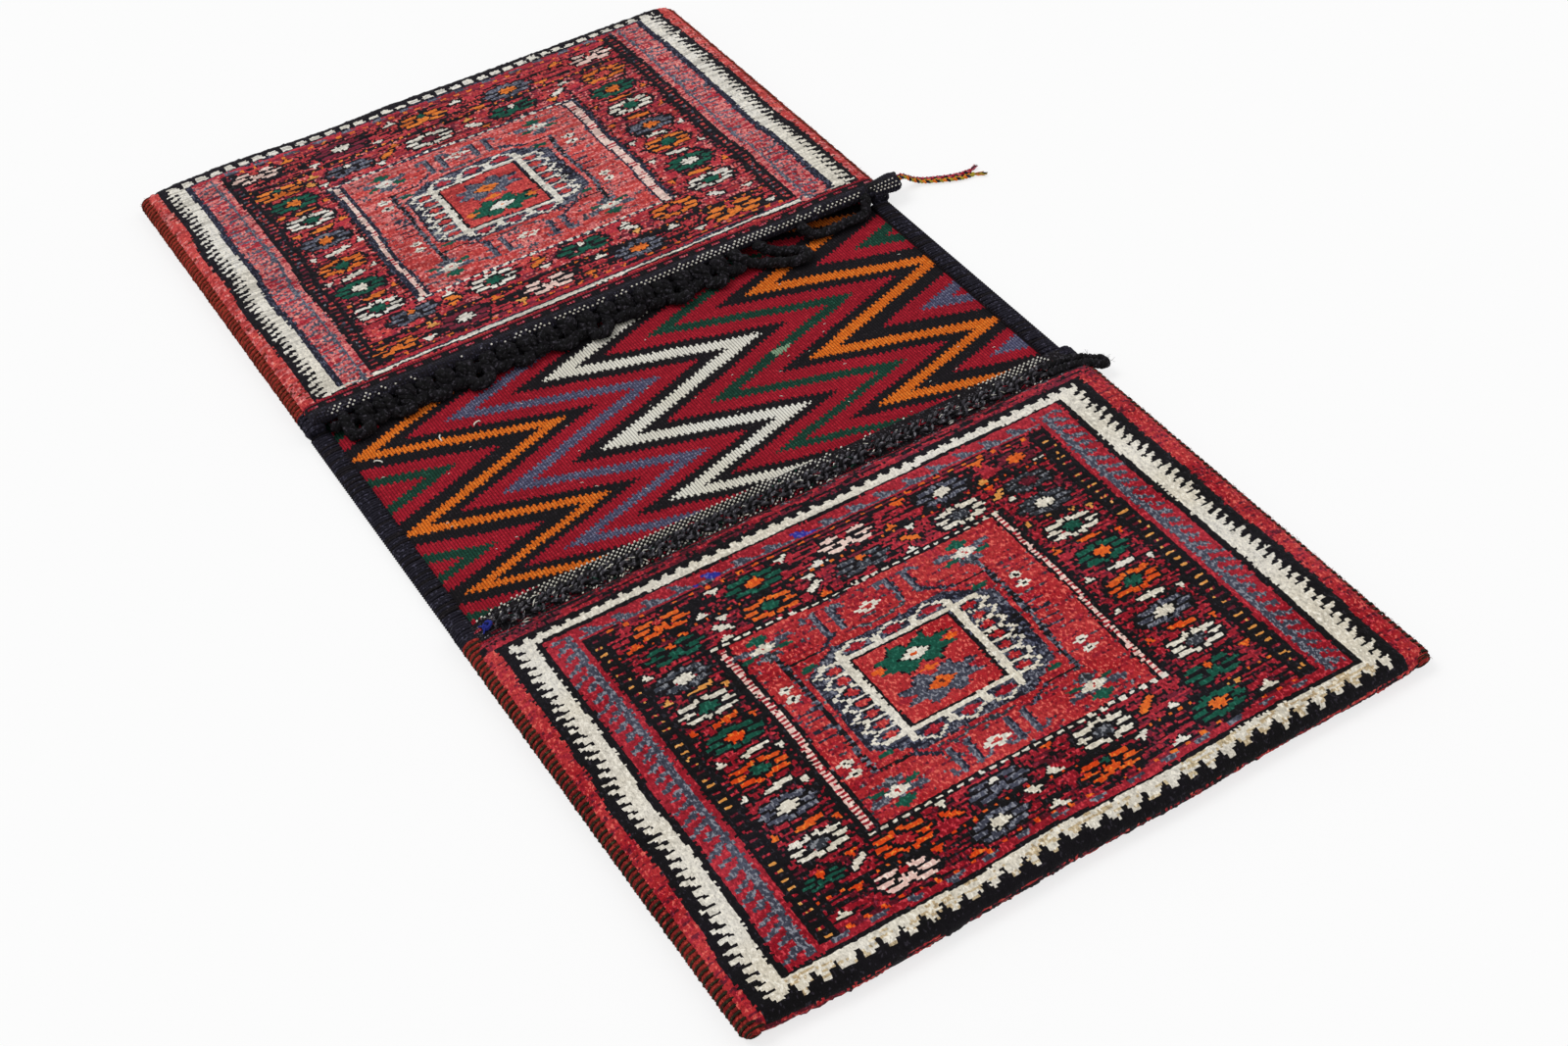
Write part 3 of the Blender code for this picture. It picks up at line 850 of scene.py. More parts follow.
@dataclass(frozen=True)
class Blossom:
    """One flower of a border."""

    c: float
    r: float
    petals: Wool
    heart: Wool
    bloom: Bloom = ROSETTE
    size: float = 1.0

    def weave(self, chart: KnotChart, upright: float) -> None:
        """Knot the flower with its dark outline.

        Args:
            chart: The chart to knot it in.
            upright: 1 where its head points to the mouth, -1 where it points away.
        """
        net = [(self.c + 13.4 * u * self.size, self.r + 7.4 * v * self.size) for u, v in CARTOUCHE]
        chart.mingle(chart.stroke(net, 1.3), COAL, 0.72)
        petals = [(side * u, upright * v, hu, hv) for u, v, hu, hv in self.bloom.value for side in (-1, 1)]
        for margin, wool in ((1.1, COAL), (0.0, self.petals)):
            for u, v, half_u, half_v in petals:
                half = ((half_u + margin) * self.size, (half_v + margin * 0.8) * self.size)
                chart.paint(chart.lobe(self.c + u * self.size, self.r + v * self.size, *half), wool)
        if self.bloom is BUTTERFLY:
            chart.paint(chart.lozenge(self.c, self.r - upright * 2.4, 3.4, 2.6), COAL)
            chart.paint(chart.lozenge(self.c, self.r - upright * 2.7, 2.2, 1.8), self.heart)
            return
        chart.paint(chart.lozenge(self.c, self.r, 5.6, 3.6), COAL)
        chart.paint(chart.polygon(self.c, self.r, 4.6, 2.7, EIGHT_POINTS), self.heart)


@dataclass(frozen=True)
class Flag:
    """A small triangle that fills the ground between two flowers."""

    c: float
    r: float
    wool: Wool
    up: bool = True
    half: float = 3.4

    def weave(self, chart: KnotChart) -> None:
        """Knot the triangle with its dark outline."""
        corners = ((-1.0, 0.9), (-0.25, -0.2), (0.0, -1.0), (0.25, -0.2), (1.0, 0.9))
        turned = [(u, v if self.up else -v) for u, v in corners]
        chart.paint(chart.polygon(self.c, self.r, self.half + 1.6, 2.8, turned), COAL)
        chart.paint(chart.polygon(self.c, self.r, self.half, 1.9, turned), self.wool)


@dataclass(frozen=True)
class Slash:
    """A slanting lozenge between two flowers of a side border."""

    c: float
    r: float
    wool: Wool
    lean: float = 1.0
    half: float = 4.6

    def weave(self, chart: KnotChart) -> None:
        """Knot the lozenge with its dark outline."""
        ends = [(self.c - self.half, self.r + self.lean), (self.c + self.half, self.r - self.lean)]
        chart.paint(chart.stroke(ends, 3.9), COAL)
        chart.paint(chart.stroke(ends, 2.1), self.wool)
        chart.paint(chart.lozenge(self.c, self.r, 2.6, 1.9), self.wool)


@dataclass(frozen=True)
class Ring:
    """One of the nested rectangles of a face's frame, and the wool inside its edges."""

    left: float
    right: float
    mouth: float
    end: float
    wool: Wool


@dataclass(frozen=True)
class FaceLayout:
    """Where everything lies in one pile face, in knots."""

    rings: tuple[Ring, ...]
    centre: Spot
    scale: Spot
    upright: float
    outer_rows: tuple[Spot, Spot]
    flowers: tuple[Blossom, ...]
    flags: tuple[Flag, ...]
    slashes: tuple[Slash, ...]


def flower_row(r: float, *spots: tuple) -> tuple[Blossom, ...]:
    """Flowers that stand in one row, each given by column, petals, heart, kind and size."""
    return tuple(Blossom(c, r, *rest) for c, *rest in spots)


def side_flowers(c: float, rows: Sequence[float], dyes: Sequence[tuple[Wool, Wool]]) -> tuple[Blossom, ...]:
    """The flowers up one side border, pale ones as rosettes and the others as asters."""
    pale = (CREAM, ORANGE)
    return tuple(
        Blossom(c, r, petals, heart, ROSETTE if petals in pale else ASTER)
        for r, (petals, heart) in zip(rows, dyes)
    )


def side_slashes(c: float, rows: Sequence[float], dyes: Sequence[Wool], lean: float) -> tuple[Slash, ...]:
    """The slanting lozenges up one side border."""
    return tuple(Slash(c, r, wool, lean) for r, wool in zip(rows, dyes))


def flags_of(wool: Wool, up: bool, *spots: Point) -> tuple[Flag, ...]:
    """Small triangles of one wool that point one way, each given by column, row and half width."""
    return tuple(Flag(c, r, wool, up, half) for c, r, half in spots)


def side_flags(cs: Spot, rows: Sequence[float], dyes: Sequence[Wool]) -> tuple[Flag, ...]:
    """The small triangles at both edges of one side border."""
    outer, inner = cs
    flags: list[Flag] = []
    for r, wool in zip(rows, dyes):
        flags += [Flag(outer, r - 1.0, wool, True, 1.9), Flag(inner, r + 3.4, wool, False, 1.9)]
    return tuple(flags)


NEAR_DYES = (
    (SLATE, CREAM), (CREAM, GREEN), (GREEN, ORANGE), (ORANGE, GREEN), (HEATHER, CREAM), (CREAM, SLATE)
)
NEAR_GAPS = (70.3, 88.0, 106.2, 125.0, 144.2)
NEAR_SLASHES = (OCHRE, ORANGE, CREAM, CREAM, ORANGE)
NEAR_LAYOUT = FaceLayout(
    rings=(
        Ring(-138.4, 134.2, 8.6, 207.5, COAL),
        Ring(-130.0, 125.0, 12.4, 197.6, CREAM),
        Ring(-125.2, 119.3, 15.5, 194.5, COAL),
        Ring(-122.3, 116.4, 17.0, 193.0, CRIMSON),
        Ring(-108.5, 103.0, 24.8, 189.5, COAL),
        Ring(-100.8, 94.3, 27.6, 188.2, CRIMSON),
        Ring(-72.4, 60.4, 55.6, 161.7, COAL),
        Ring(-65.0, 54.8, 57.9, 159.2, MADDER),
    ),
    centre=(-8.9, 109.5),
    scale=(1.0, 1.0),
    upright=1.0,
    outer_rows=((27.8, 41.2), (175.2, 188.0)),
    flowers=(
        *flower_row(
            34.3,
            (-79.4, ORANGE, MADDER, BUTTERFLY), (-39.5, GREEN, ORANGE, ASTER),
            (1.9, ROSE, CRIMSON, BUTTERFLY), (47.1, HEATHER, CREAM, ASTER),
            (83.5, WINE, ORANGE, ASTER, 0.8),
        ),
        *flower_row(
            48.8,
            (-81.9, GREEN, ORANGE, BUTTERFLY), (-40.5, ORANGE, GREEN), (0.9, SLATE, ORANGE, BUTTERFLY),
            (46.1, CREAM, SLATE), (79.5, SLATE, WINE, ASTER, 0.9),
        ),
        *side_flowers(-86.7, (62.4, 79.2, 97.0, 115.3, 134.6, 153.4), NEAR_DYES),
        *side_flowers(77.9, (62.4, 79.2, 97.0, 115.3, 134.6, 153.4), NEAR_DYES),
        *flower_row(168.0, (-93.6, GREEN, ORANGE, BUTTERFLY, 0.7), (-61.7, ORANGE, MADDER)),
        *flower_row(168.4, (-20.9, HEATHER, CREAM, BUTTERFLY)),
        *flower_row(168.0, (23.4, CREAM, SLATE), (73.0, GREEN, ORANGE, BUTTERFLY)),
        *flower_row(
            181.6,
            (-69.4, ROSE, MADDER, BUTTERFLY), (-29.9, HEATHER, CREAM, ASTER),
            (14.9, ORANGE, GREEN, BUTTERFLY), (63.5, GREEN, ORANGE, ASTER),
        ),
    ),
    flags=(
        *side_flags((-98.0, -75.0), NEAR_GAPS, NEAR_SLASHES),
        *side_flags((64.0, 91.0), NEAR_GAPS, NEAR_SLASHES),
        *flags_of(
            CREAM, False,
            (-54.9, 29.8, 4.0), (-25.1, 29.8, 4.2), (-58.8, 44.2, 3.2), (-20.5, 44.4, 2.8),
            (26.0, 43.8, 2.8), (-42.0, 163.4, 3.0), (-11.6, 177.6, 4.2), (31.7, 177.4, 4.0),
        ),
        *flags_of(
            CREAM, True,
            (-64.6, 38.4, 3.6), (-13.9, 38.4, 4.4), (91.0, 37.6, 2.4), (-62.6, 53.6, 3.2),
            (20.0, 53.6, 3.0), (68.5, 53.6, 2.6), (-98.0, 54.2, 2.4), (-2.0, 172.4, 3.8),
            (50.0, 172.4, 3.4), (-96.0, 183.6, 3.8), (-9.0, 185.9, 4.2), (42.0, 185.8, 4.6),
            (83.7, 184.6, 4.4),
        ),
        *flags_of(
            ORANGE, False,
            (29.2, 29.8, 4.0), (68.0, 29.6, 4.2), (-74.0, 43.8, 3.0), (64.5, 44.0, 3.6),
            (-80.0, 163.6, 3.4), (3.5, 163.4, 3.0), (91.0, 165.6, 3.0), (-85.7, 177.4, 3.8),
            (-54.0, 177.6, 4.0),
        ),
        *flags_of(
            ORANGE, True,
            (19.6, 38.4, 3.6), (-93.0, 38.4, 3.8), (-20.0, 53.8, 3.6), (-44.4, 185.8, 4.2),
        ),
        *flags_of(
            OCHRE, True,
            (64.0, 38.4, 3.0),
        ),
        *flags_of(
            OCHRE, False,
            (75.5, 177.6, 4.2),
        ),
    ),
    slashes=(
        *side_slashes(-84.5, NEAR_GAPS, NEAR_SLASHES, 0.8),
        *side_slashes(79.0, NEAR_GAPS, NEAR_SLASHES, -0.8),
        Slash(-80.0, 168.0, CREAM, 1.4, 2.6),
        Slash(-41.5, 168.6, ORANGE, -1.6, 2.6),
        Slash(43.0, 167.2, ORANGE, 1.6, 2.8),
        Slash(-21.5, 48.6, CREAM, 1.4, 2.4),
        Slash(23.0, 48.4, ORANGE, -1.4, 2.6),
        Slash(-61.0, 48.6, CREAM, -1.2, 2.4),
        Slash(65.5, 48.8, OCHRE, 1.4, 2.4),
    ),
)

FAR_DYES = (
    (CREAM, GREEN), (GREEN, CREAM), (ORANGE, GREEN), (HEATHER, ORANGE), (CREAM, GREEN), (GREEN, ORANGE)
)
FAR_LEFT_GAPS = (56.4, 76.0, 97.0, 117.6, 136.0)
FAR_RIGHT_GAPS = (55.0, 75.0, 93.6, 112.6, 131.6)
FAR_SLASHES = (ORANGE, CREAM, CREAM, ORANGE, ORANGE)
FAR_LAYOUT = FaceLayout(
    rings=(
        Ring(-138.0, 137.6, 4.6, 206.0, COAL),
        Ring(-130.2, 130.2, 5.6, 188.2, CREAM),
        Ring(-125.5, 125.3, 7.0, 188.2, NIGHT),
        Ring(-122.5, 121.9, 8.2, 187.2, CRIMSON),
        Ring(-108.6, 107.0, 9.8, 184.4, COAL),
        Ring(-101.0, 100.0, 11.6, 183.0, CRIMSON),
        Ring(-70.8, 62.0, 41.4, 146.2, NIGHT),
        Ring(-63.6, 54.3, 42.9, 144.0, MADDER),
    ),
    centre=(-5.6, 94.9),
    scale=(0.927, 0.945),
    upright=-1.0,
    outer_rows=((11.8, 25.4), (164.2, 183.0)),
    flowers=(
        *flower_row(18.0, (-92.0, ORANGE, MADDER, BUTTERFLY, 0.9)),
        *flower_row(18.6, (-57.9, WINE, CREAM, ASTER)),
        *flower_row(18.0, (-16.7, ROSE, CRIMSON, BUTTERFLY)),
        *flower_row(18.4, (27.4, HEATHER, ORANGE, ASTER)),
        *flower_row(18.0, (78.2, ORANGE, MADDER, BUTTERFLY, 1.2)),
        *flower_row(34.2, (-76.1, HEATHER, ORANGE, BUTTERFLY)),
        *flower_row(34.6, (-35.8, CREAM, GREEN)),
        *flower_row(33.6, (8.2, GREEN, CREAM, BUTTERFLY)),
        *flower_row(34.6, (56.2, ORANGE, MADDER)),
        *side_flowers(-87.6, (47.7, 66.2, 86.0, 108.0, 127.0, 144.7), FAR_DYES),
        *side_flowers(82.0, (45.9, 65.4, 85.0, 102.4, 123.0, 140.6), FAR_DYES),
        *flower_row(156.4, (-89.5, ORANGE, GREEN, BUTTERFLY)),
        *flower_row(
            154.8,
            (-53.1, HEATHER, CREAM, BUTTERFLY), (-10.9, CREAM, WINE), (34.1, GREEN, CREAM, BUTTERFLY),
        ),
        *flower_row(155.4, (84.9, ORANGE, MADDER)),
        *flower_row(176.2, (-92.4, ROSE, MADDER, BUTTERFLY)),
        *flower_row(174.0, (-50.2, WINE, CREAM, ASTER, 1.1)),
        *flower_row(173.6, (-7.1, ORANGE, GREEN, BUTTERFLY)),
        *flower_row(172.0, (38.0, HEATHER, ORANGE, ASTER, 1.1)),
        *flower_row(173.6, (87.8, ROSE, MADDER, BUTTERFLY)),
    ),
    flags=(
        *side_flags((-98.0, -74.5), FAR_LEFT_GAPS, FAR_SLASHES),
        *side_flags((66.5, 96.0), FAR_RIGHT_GAPS, FAR_SLASHES),
        *flags_of(
            OCHRE, False,
            (-72.0, 23.4, 3.4), (-71.0, 160.2, 3.0), (11.5, 160.4, 3.0),
        ),
        *flags_of(
            ORANGE, False,
            (-40.6, 23.4, 3.6), (-14.0, 38.6, 2.8), (-78.0, 160.8, 2.8), (-27.5, 160.6, 2.8),
            (-75.5, 180.6, 3.6), (69.0, 179.2, 3.8),
        ),
        *flags_of(
            CREAM, False,
            (10.5, 23.4, 4.0), (47.8, 23.4, 4.0), (-57.0, 38.6, 3.0), (31.5, 38.6, 3.0),
            (64.0, 161.2, 3.6), (-23.5, 179.6, 4.2), (12.0, 178.4, 4.6),
        ),
        *flags_of(
            CREAM, True,
            (-76.5, 14.2, 3.6), (58.0, 14.0, 4.0), (96.0, 14.4, 3.2), (-12.0, 29.8, 3.6),
            (94.0, 30.2, 3.0), (-68.5, 149.6, 3.4), (-38.5, 149.4, 3.4), (-66.0, 167.8, 4.2),
            (-33.0, 167.8, 3.8),
        ),
        *flags_of(
            OCHRE, True,
            (-32.5, 14.2, 3.6), (32.5, 29.8, 3.2),
        ),
        *flags_of(
            ORANGE, True,
            (1.0, 14.2, 3.6), (-58.0, 30.2, 3.0), (16.5, 148.8, 3.2), (53.5, 149.4, 3.2),
            (20.0, 165.8, 4.2), (56.0, 167.4, 4.2),
        ),
    ),
    slashes=(
        *side_slashes(-86.0, FAR_LEFT_GAPS, FAR_SLASHES, -0.8),
        *side_slashes(81.0, FAR_RIGHT_GAPS, FAR_SLASHES, 0.8),
        Slash(-56.5, 34.4, ORANGE, 1.5, 2.6),
        Slash(-13.5, 34.4, ORANGE, -1.5, 2.6),
        Slash(31.5, 34.6, CREAM, 1.5, 2.6),
        Slash(78.0, 33.6, CREAM, 1.5, 2.6),
        Slash(-75.0, 155.0, OCHRE, 1.5, 2.2),
        Slash(-33.0, 155.0, ORANGE, -1.5, 2.6),
        Slash(12.0, 153.8, CREAM, 1.5, 2.4),
        Slash(58.5, 154.6, CREAM, -1.5, 2.6),
    ),
)


class FaceWeaver:
    """Knots the whole pattern of one pile face from its layout."""

    def __init__(self, chart: KnotChart, layout: FaceLayout) -> None:
        """Start on an empty chart.

        Args:
            chart: The chart to fill.
            layout: Where everything lies.
        """
        self.chart = chart
        self.layout = layout
        self.near = layout.upright > 0

    def weave(self) -> Array:
        """Knot the frame, the borders and the field.

        Returns:
            The wool of each knot.
        """
        chart, layout = self.chart, self.layout
        for ring in layout.rings:
            chart.paint(chart.block(ring.left, ring.right, ring.mouth, ring.end), ring.wool)
        for step in (self.white_teeth, self.combs, self.ladders, self.border_rows):
            step()
        for piece in (*layout.slashes, *layout.flags):
            piece.weave(chart)
        for flower in layout.flowers:
            flower.weave(chart, layout.upright)
        for step in (self.field_frame, self.medallion, self.field_flowers, self.hook_bars):
            step()
        return chart.knots

    def rows(self, low: float, high: float) -> Array:
        """The mask of all the knots between two rows."""
        return self.chart.block(-200, 200, low, high)

    def columns(self, low: float, high: float) -> Array:
        """The mask of all the knots between two columns."""
        return self.chart.block(low, high, 0, 400)

    def shade(self, mask: Array, *shares: tuple[Wool, float]) -> None:
        """Mingle a share of each wool, one after the other, under a mask."""
        for wool, share in shares:
            self.chart.mingle(mask, wool, share)

    def white(self, mask: Array, *sizes: Array | float) -> None:
        """Knot a row of cream teeth under a mask."""
        self.chart.paint(mask & self.chart.teeth(*sizes), CREAM)

    def white_teeth(self) -> None:
        """The teeth that stand out from the white line into the black one, and the face's outer edges, with
        painted shade where the near face wraps round its fold.
        """
        chart, black, line = self.chart, self.layout.rings[0], self.layout.rings[1]
        c, r = chart.c, chart.r
        inside = self.rows(line.mouth - 1, line.end + 1)
        pitch, root, tip = (4.5, 3.3, 2.3) if self.near else (3.8, 2.5, 1.9)
        for start, reach in ((line.left + 0.3, -5.6), (line.right - 0.3, 5.6)):
            self.white(inside, r, c, start, reach * 0.55, pitch, root, 0.2, 0.1)
            self.white(inside, r, c, start, reach, pitch, tip, 0.2, 0.3)
        outside = (c < black.left) | (c > black.right)
        within = self.columns(line.left - 4, line.right + 4)
        if not self.near:
            self.shade(outside, (BLUSH, 0.3), (RUST, 0.06))
            self.white(within, c, r, 188.5, 3.5, 7.4, 5.6, 0.0, 0.25)
            self.shade(self.rows(0, 4.6), (CRIMSON, 0.6), (COAL, 0.16))
            return
        self.shade(outside, (CRIMSON, 0.4), (WINE, 0.12))
        self.white(within, c, r, line.end - 0.5, 3.4, 8.3, 7.2, 0.0, 0.2)
        self.white(within, c - 0.8, r, line.end - 0.5, 5.8, 8.3, 4.8, 0.0, 0.5)
        end_line = chart.block(line.left + 4, line.right - 4, line.end - 2.5, line.end + 7)
        chart.mingle(end_line & (chart.knots == CREAM), TAN, 0.3)
        # Painted shade: the knots that wrap round the near fold are mingled with wine and coal.
        wrap = self.rows(black.end, 400)
        chart.mingle(wrap, WINE, 0.6)
        chart.mingle(wrap & (c > -110), COAL, 0.5)
        self.white(within, c, r, line.mouth + 0.4, -2.3, 6.1, 4.2, 0.0, 0.6)
        chart.paint(self.rows(0, 3.4), COAL)
        chart.mingle(self.rows(0, 4.6), CRIMSON, 0.4)
        chart.mingle(self.rows(0, 3.4) & (c % 9.0 < 5.0), SLATE, 0.34)
        chart.paint(self.rows(3.4, 8.6), CRIMSON)
        self.shade(self.rows(3.4, 8.6), (WINE, 0.6), (COAL, 0.16))
        chart.mingle(self.rows(5.6, 7.0), COAL, 0.5)

    def combs(self) -> None:
        """The red borders with their combs of heather wool, toothed outwards."""
        chart, outer, inner = self.chart, self.layout.rings[3], self.layout.rings[4]
        c, r = chart.c, chart.r
        spine_half, pitch, thick, lean = (1.6, 5.6, 2.7, -0.5) if self.near else (0.75, 3.3, 1.3, 0.35)
        rows = self.rows(inner.mouth - 5, inner.end + 2)
        for edge, limit, way in ((inner.left, outer.left, -1.0), (inner.right, outer.right, 1.0)):
            spine = edge + way * 2.4
            if not self.near:
                band = rows & (c * way > edge * way) & (c * way < limit * way)
                self.shade(band, (MADDER, 0.7), (BLUSH, 0.66), (HEATHER, 0.1))
            chart.paint(rows & (np.abs(c - spine - way * 1.6) < spine_half), HEATHER)
            reach = limit - spine - way * 2.6
            comb = rows & chart.teeth(r, c, spine + way * 2, reach, pitch, thick, lean, 0.3)
            chart.mingle(comb, HEATHER, 0.96 if self.near else 0.62)
            if self.near:
                tips = chart.teeth(r - 1.1, c, spine + reach * 0.6, reach * 0.22, pitch, 3.6, lean)
                chart.mingle(rows & tips, HEATHER, 0.75)
        across = self.columns(inner.left, inner.right)
        if self.near:
            chart.paint(across & (np.abs(r - inner.mouth + 1.6) < 0.6), HEATHER)
            blobs = across & chart.teeth(c, r, inner.mouth - 1.4, -4.8, 13.0, 8.4, 0.6, 0.72)
            chart.paint(blobs, HEATHER)
            for blue in (-53.0, -10.7):
                chart.paint(blobs & (np.abs(c - blue) < 6), ROYAL)
        chart.paint(across & chart.teeth(c, r, inner.end + 0.4, 2.2, 15.0, 8.0, 0.0, 0.5), HEATHER)

    def ladders(self) -> None:
        """The narrow black lines with their rungs of bright wool."""
        chart, outer, inner = self.chart, self.layout.rings[4], self.layout.rings[5]
        rows = self.rows(outer.mouth + 1.5, outer.end - 1.0)
        pitch, rung = (4.0, 1.0) if self.near else (3.1, 1.15)
        for low, high in ((outer.left + 2.3, inner.left - 2.3), (inner.right + 2.3, outer.right - 2.3)):
            column = rows & (chart.c > low) & (chart.c < high) & (chart.r % pitch < rung)
            chart.paint(column, OCHRE if self.near else MADDER)
            self.shade(column, (CRIMSON if self.near else HEATHER, 0.5), (WINE, 0.3))
        for row in (outer.mouth + 1.4, outer.end - 0.7):
            line = self.columns(inner.left, inner.right) & (np.abs(chart.r - row) < 0.65)
            chart.paint(line, WINE)
            chart.paint(line & (chart.c % 7.0 < 2.4), ORANGE)

    def border_rows(self) -> None:
        """The grounds of the border rows by the mouth and by the end, and the lines between them."""
        chart, ring, inner = self.chart, self.layout.rings[5], self.layout.rings[6]
        c, r = chart.c, chart.r
        across = self.columns(ring.left, ring.right)
        mouth, end = self.layout.outer_rows
        field = (c > inner.left) & (c < inner.right) & (r > inner.mouth) & (r < inner.end)
        ground = across & (r > ring.mouth) & (r < ring.end) & ~field
        if not self.near:
            self.shade(ground, (MADDER, 0.7), (BLUSH, 0.4))
        streak = r % (2.6 if self.near else 4.2) < 1.3
        chart.mingle(ground & streak, COAL, 0.56 if self.near else 0.42)
        self.shade(ground, (COAL, 0.36 if self.near else 0.04), (WINE, 0.22))
        for low, high, share in ((*mouth, 0.56), (*end, 0.42)):
            row = across & (r > low) & (r < high)
            chart.mingle(row, WINE, 0.6 if self.near else 0.3)
            chart.mingle(row & (np.abs(r - (low + high) / 2) < 6.4), COAL, share)
        for edge in (mouth[1], end[0]):
            line = across & (np.abs(r - edge) < 1.1)
            chart.paint(line, COAL)
            chart.paint(line & (np.abs(r - edge) < 0.5) & (c % 4.6 < 1.3), ORANGE)
        for low, high in ((ring.left, inner.left), (inner.right, ring.right)):
            sides = (c > low) & (c < high) & (r > mouth[1] + 1) & (r < end[0] - 1)
            edges = sides & ((np.abs(c - low - 1.0) < 0.9) | (np.abs(c - high + 1.0) < 0.9))
            chart.paint(edges & (r % 3.1 < 2.0), COAL)

    def field_frame(self) -> None:
        """The ladder and dash lines round the field."""
        chart, black, ground = self.chart, self.layout.rings[6], self.layout.rings[7]
        rows = self.rows(ground.mouth, ground.end)
        inside = rows & (chart.c > ground.left) & (chart.c < ground.right)
        if self.near:
            self.shade(inside, (CRIMSON, 0.34), (WINE, 0.1), (SLATE, 0.05))
        else:
            self.shade(inside, (CRIMSON, 0.08), (BLUSH, 0.46), (SLATE, 0.09))
        for low, high in ((black.left + 2.7, ground.left - 2.0), (ground.right + 1.4, black.right - 2.2)):
            column = rows & (chart.c > low) & (chart.c < high)
            chart.paint(column, CRIMSON)
            chart.paint(column & (chart.r % 2.2 < (1.25 if self.near else 1.8)), ROSE)
        across = self.columns(black.left, black.right)
        for row in ((black.mouth + ground.mouth) / 2, (black.end + ground.end) / 2):
            chart.paint(across & (np.abs(chart.r - row) < 0.62) & (chart.c % 4.7 < 2.7), CREAM)

    def at(self, u: float, v: float) -> Spot:
        """The column and row of a place given from the medallion's middle."""
        c, r = self.layout.centre
        return c + u * self.layout.scale[0], r + v * self.layout.scale[1]

    def box(self, u0: float, u1: float, v0: float, v1: float, wool: Wool) -> None:
        """Knot an upright rectangle given from the medallion's middle."""
        (c0, r0), (c1, r1) = self.at(u0, v0), self.at(u1, v1)
        self.chart.paint(self.chart.block(c0, c1, r0, r1), wool)

    def line(self, points: Sequence[Spot], thick: float, wool: Wool) -> None:
        """Knot a line through places given from the medallion's middle."""
        self.chart.paint(self.chart.stroke([self.at(u, v) for u, v in points], thick), wool)

    def gems(self, u: float, v: float, *sizes: tuple[float, float, Wool]) -> None:
        """Knot lozenges over one another at a place given from the medallion's middle."""
        for half_u, half_v, wool in sizes:
            self.chart.paint(self.chart.lozenge(*self.at(u, v), half_u, half_v), wool)

    def medallion(self) -> None:
        """The octagon in the middle with its white frame, its arches and its two stars."""
        chart = self.chart
        scale_u, scale_v = self.layout.scale
        centre = self.at(0, 0)
        octagon = chart.polygon(*centre, 41.4 * scale_u, 30.0 * scale_v, OCTAGON)
        chart.paint(octagon, NIGHT)
        chart.mingle(octagon, HEATHER, 0.38)
        chart.mingle(octagon & (np.abs(chart.r - centre[1]) < 9), COAL, 0.3)
        self.box(-23.8, 21.0, -20.4, 19.5, COAL)
        self.box(-22.2, 19.4, -19.4, 18.6, MADDER)
        for side, bar in ((-1, -25.4), (1, 23.1)):
            root, knee, apex = bar + side * 2, bar + side * 8.2, bar + side * 13.6
            for k in range(7):
                v = -21.3 + 6.0 * k
                self.line([(root, v), (knee, v), (apex, v + 3.0), (knee, v + 6.0)], 1.02, CREAM)
                self.gems(bar + side * 5.6, v + 3.0, (3.6, 1.9, MADDER))
            self.box(bar - 1.7, bar + 1.7, -23.0, 21.5, CREAM)
        for edge, apex in ((-21.6, -28.6), (20.4, 28.6)):
            lift = (apex - edge) / 7
            knee = edge + 3.6 * lift
            for k in range(3):
                u = -25.6 + 16.3 * k
                arch = [(u, edge), (u + 0.8, knee), (u + 8.2, apex), (u + 15.5, knee), (u + 16.3, edge)]
                self.line(arch, 1.02, CREAM)
                self.gems(u + 8.2, edge + 3.4 * lift, (5.2, 2.0, CRIMSON))
                self.line([(u, edge), (u + 0.6, edge + 3.4 * lift)], 2.5, CREAM)
            self.line([(23.3, edge), (22.8, edge + 3.4 * lift)], 2.5, CREAM)
            self.box(-36.0, 34.5, edge - 0.95, edge + 0.95, CREAM)
        stars = ((-9.9, GREEN, COAL, CREAM, ORANGE), (7.4, HEATHER, NIGHT, ORANGE, RUST))
        for v, wool, rim, heart, core in stars:
            spot = self.at(-1.4, v)
            chart.mingle(chart.polygon(*spot, 19.4 * scale_u, 8.6 * scale_v, EIGHT_POINTS), rim, 0.55)
            chart.paint(chart.polygon(*spot, 17.6 * scale_u, 7.6 * scale_v, EIGHT_POINTS), wool)
            self.gems(-1.4, v, (7.6, 3.7, rim), (6.7, 3.1, heart), (1.6, 0.8, core))
        for v, wool in ((-9.6, ORANGE), (7.4, CRIMSON)):
            for u in (-17.4, 14.8):
                self.gems(u, v, (3.4, 1.8, wool))
        self.gems(-1.4, -0.9, (4.0, 1.5, ORANGE))

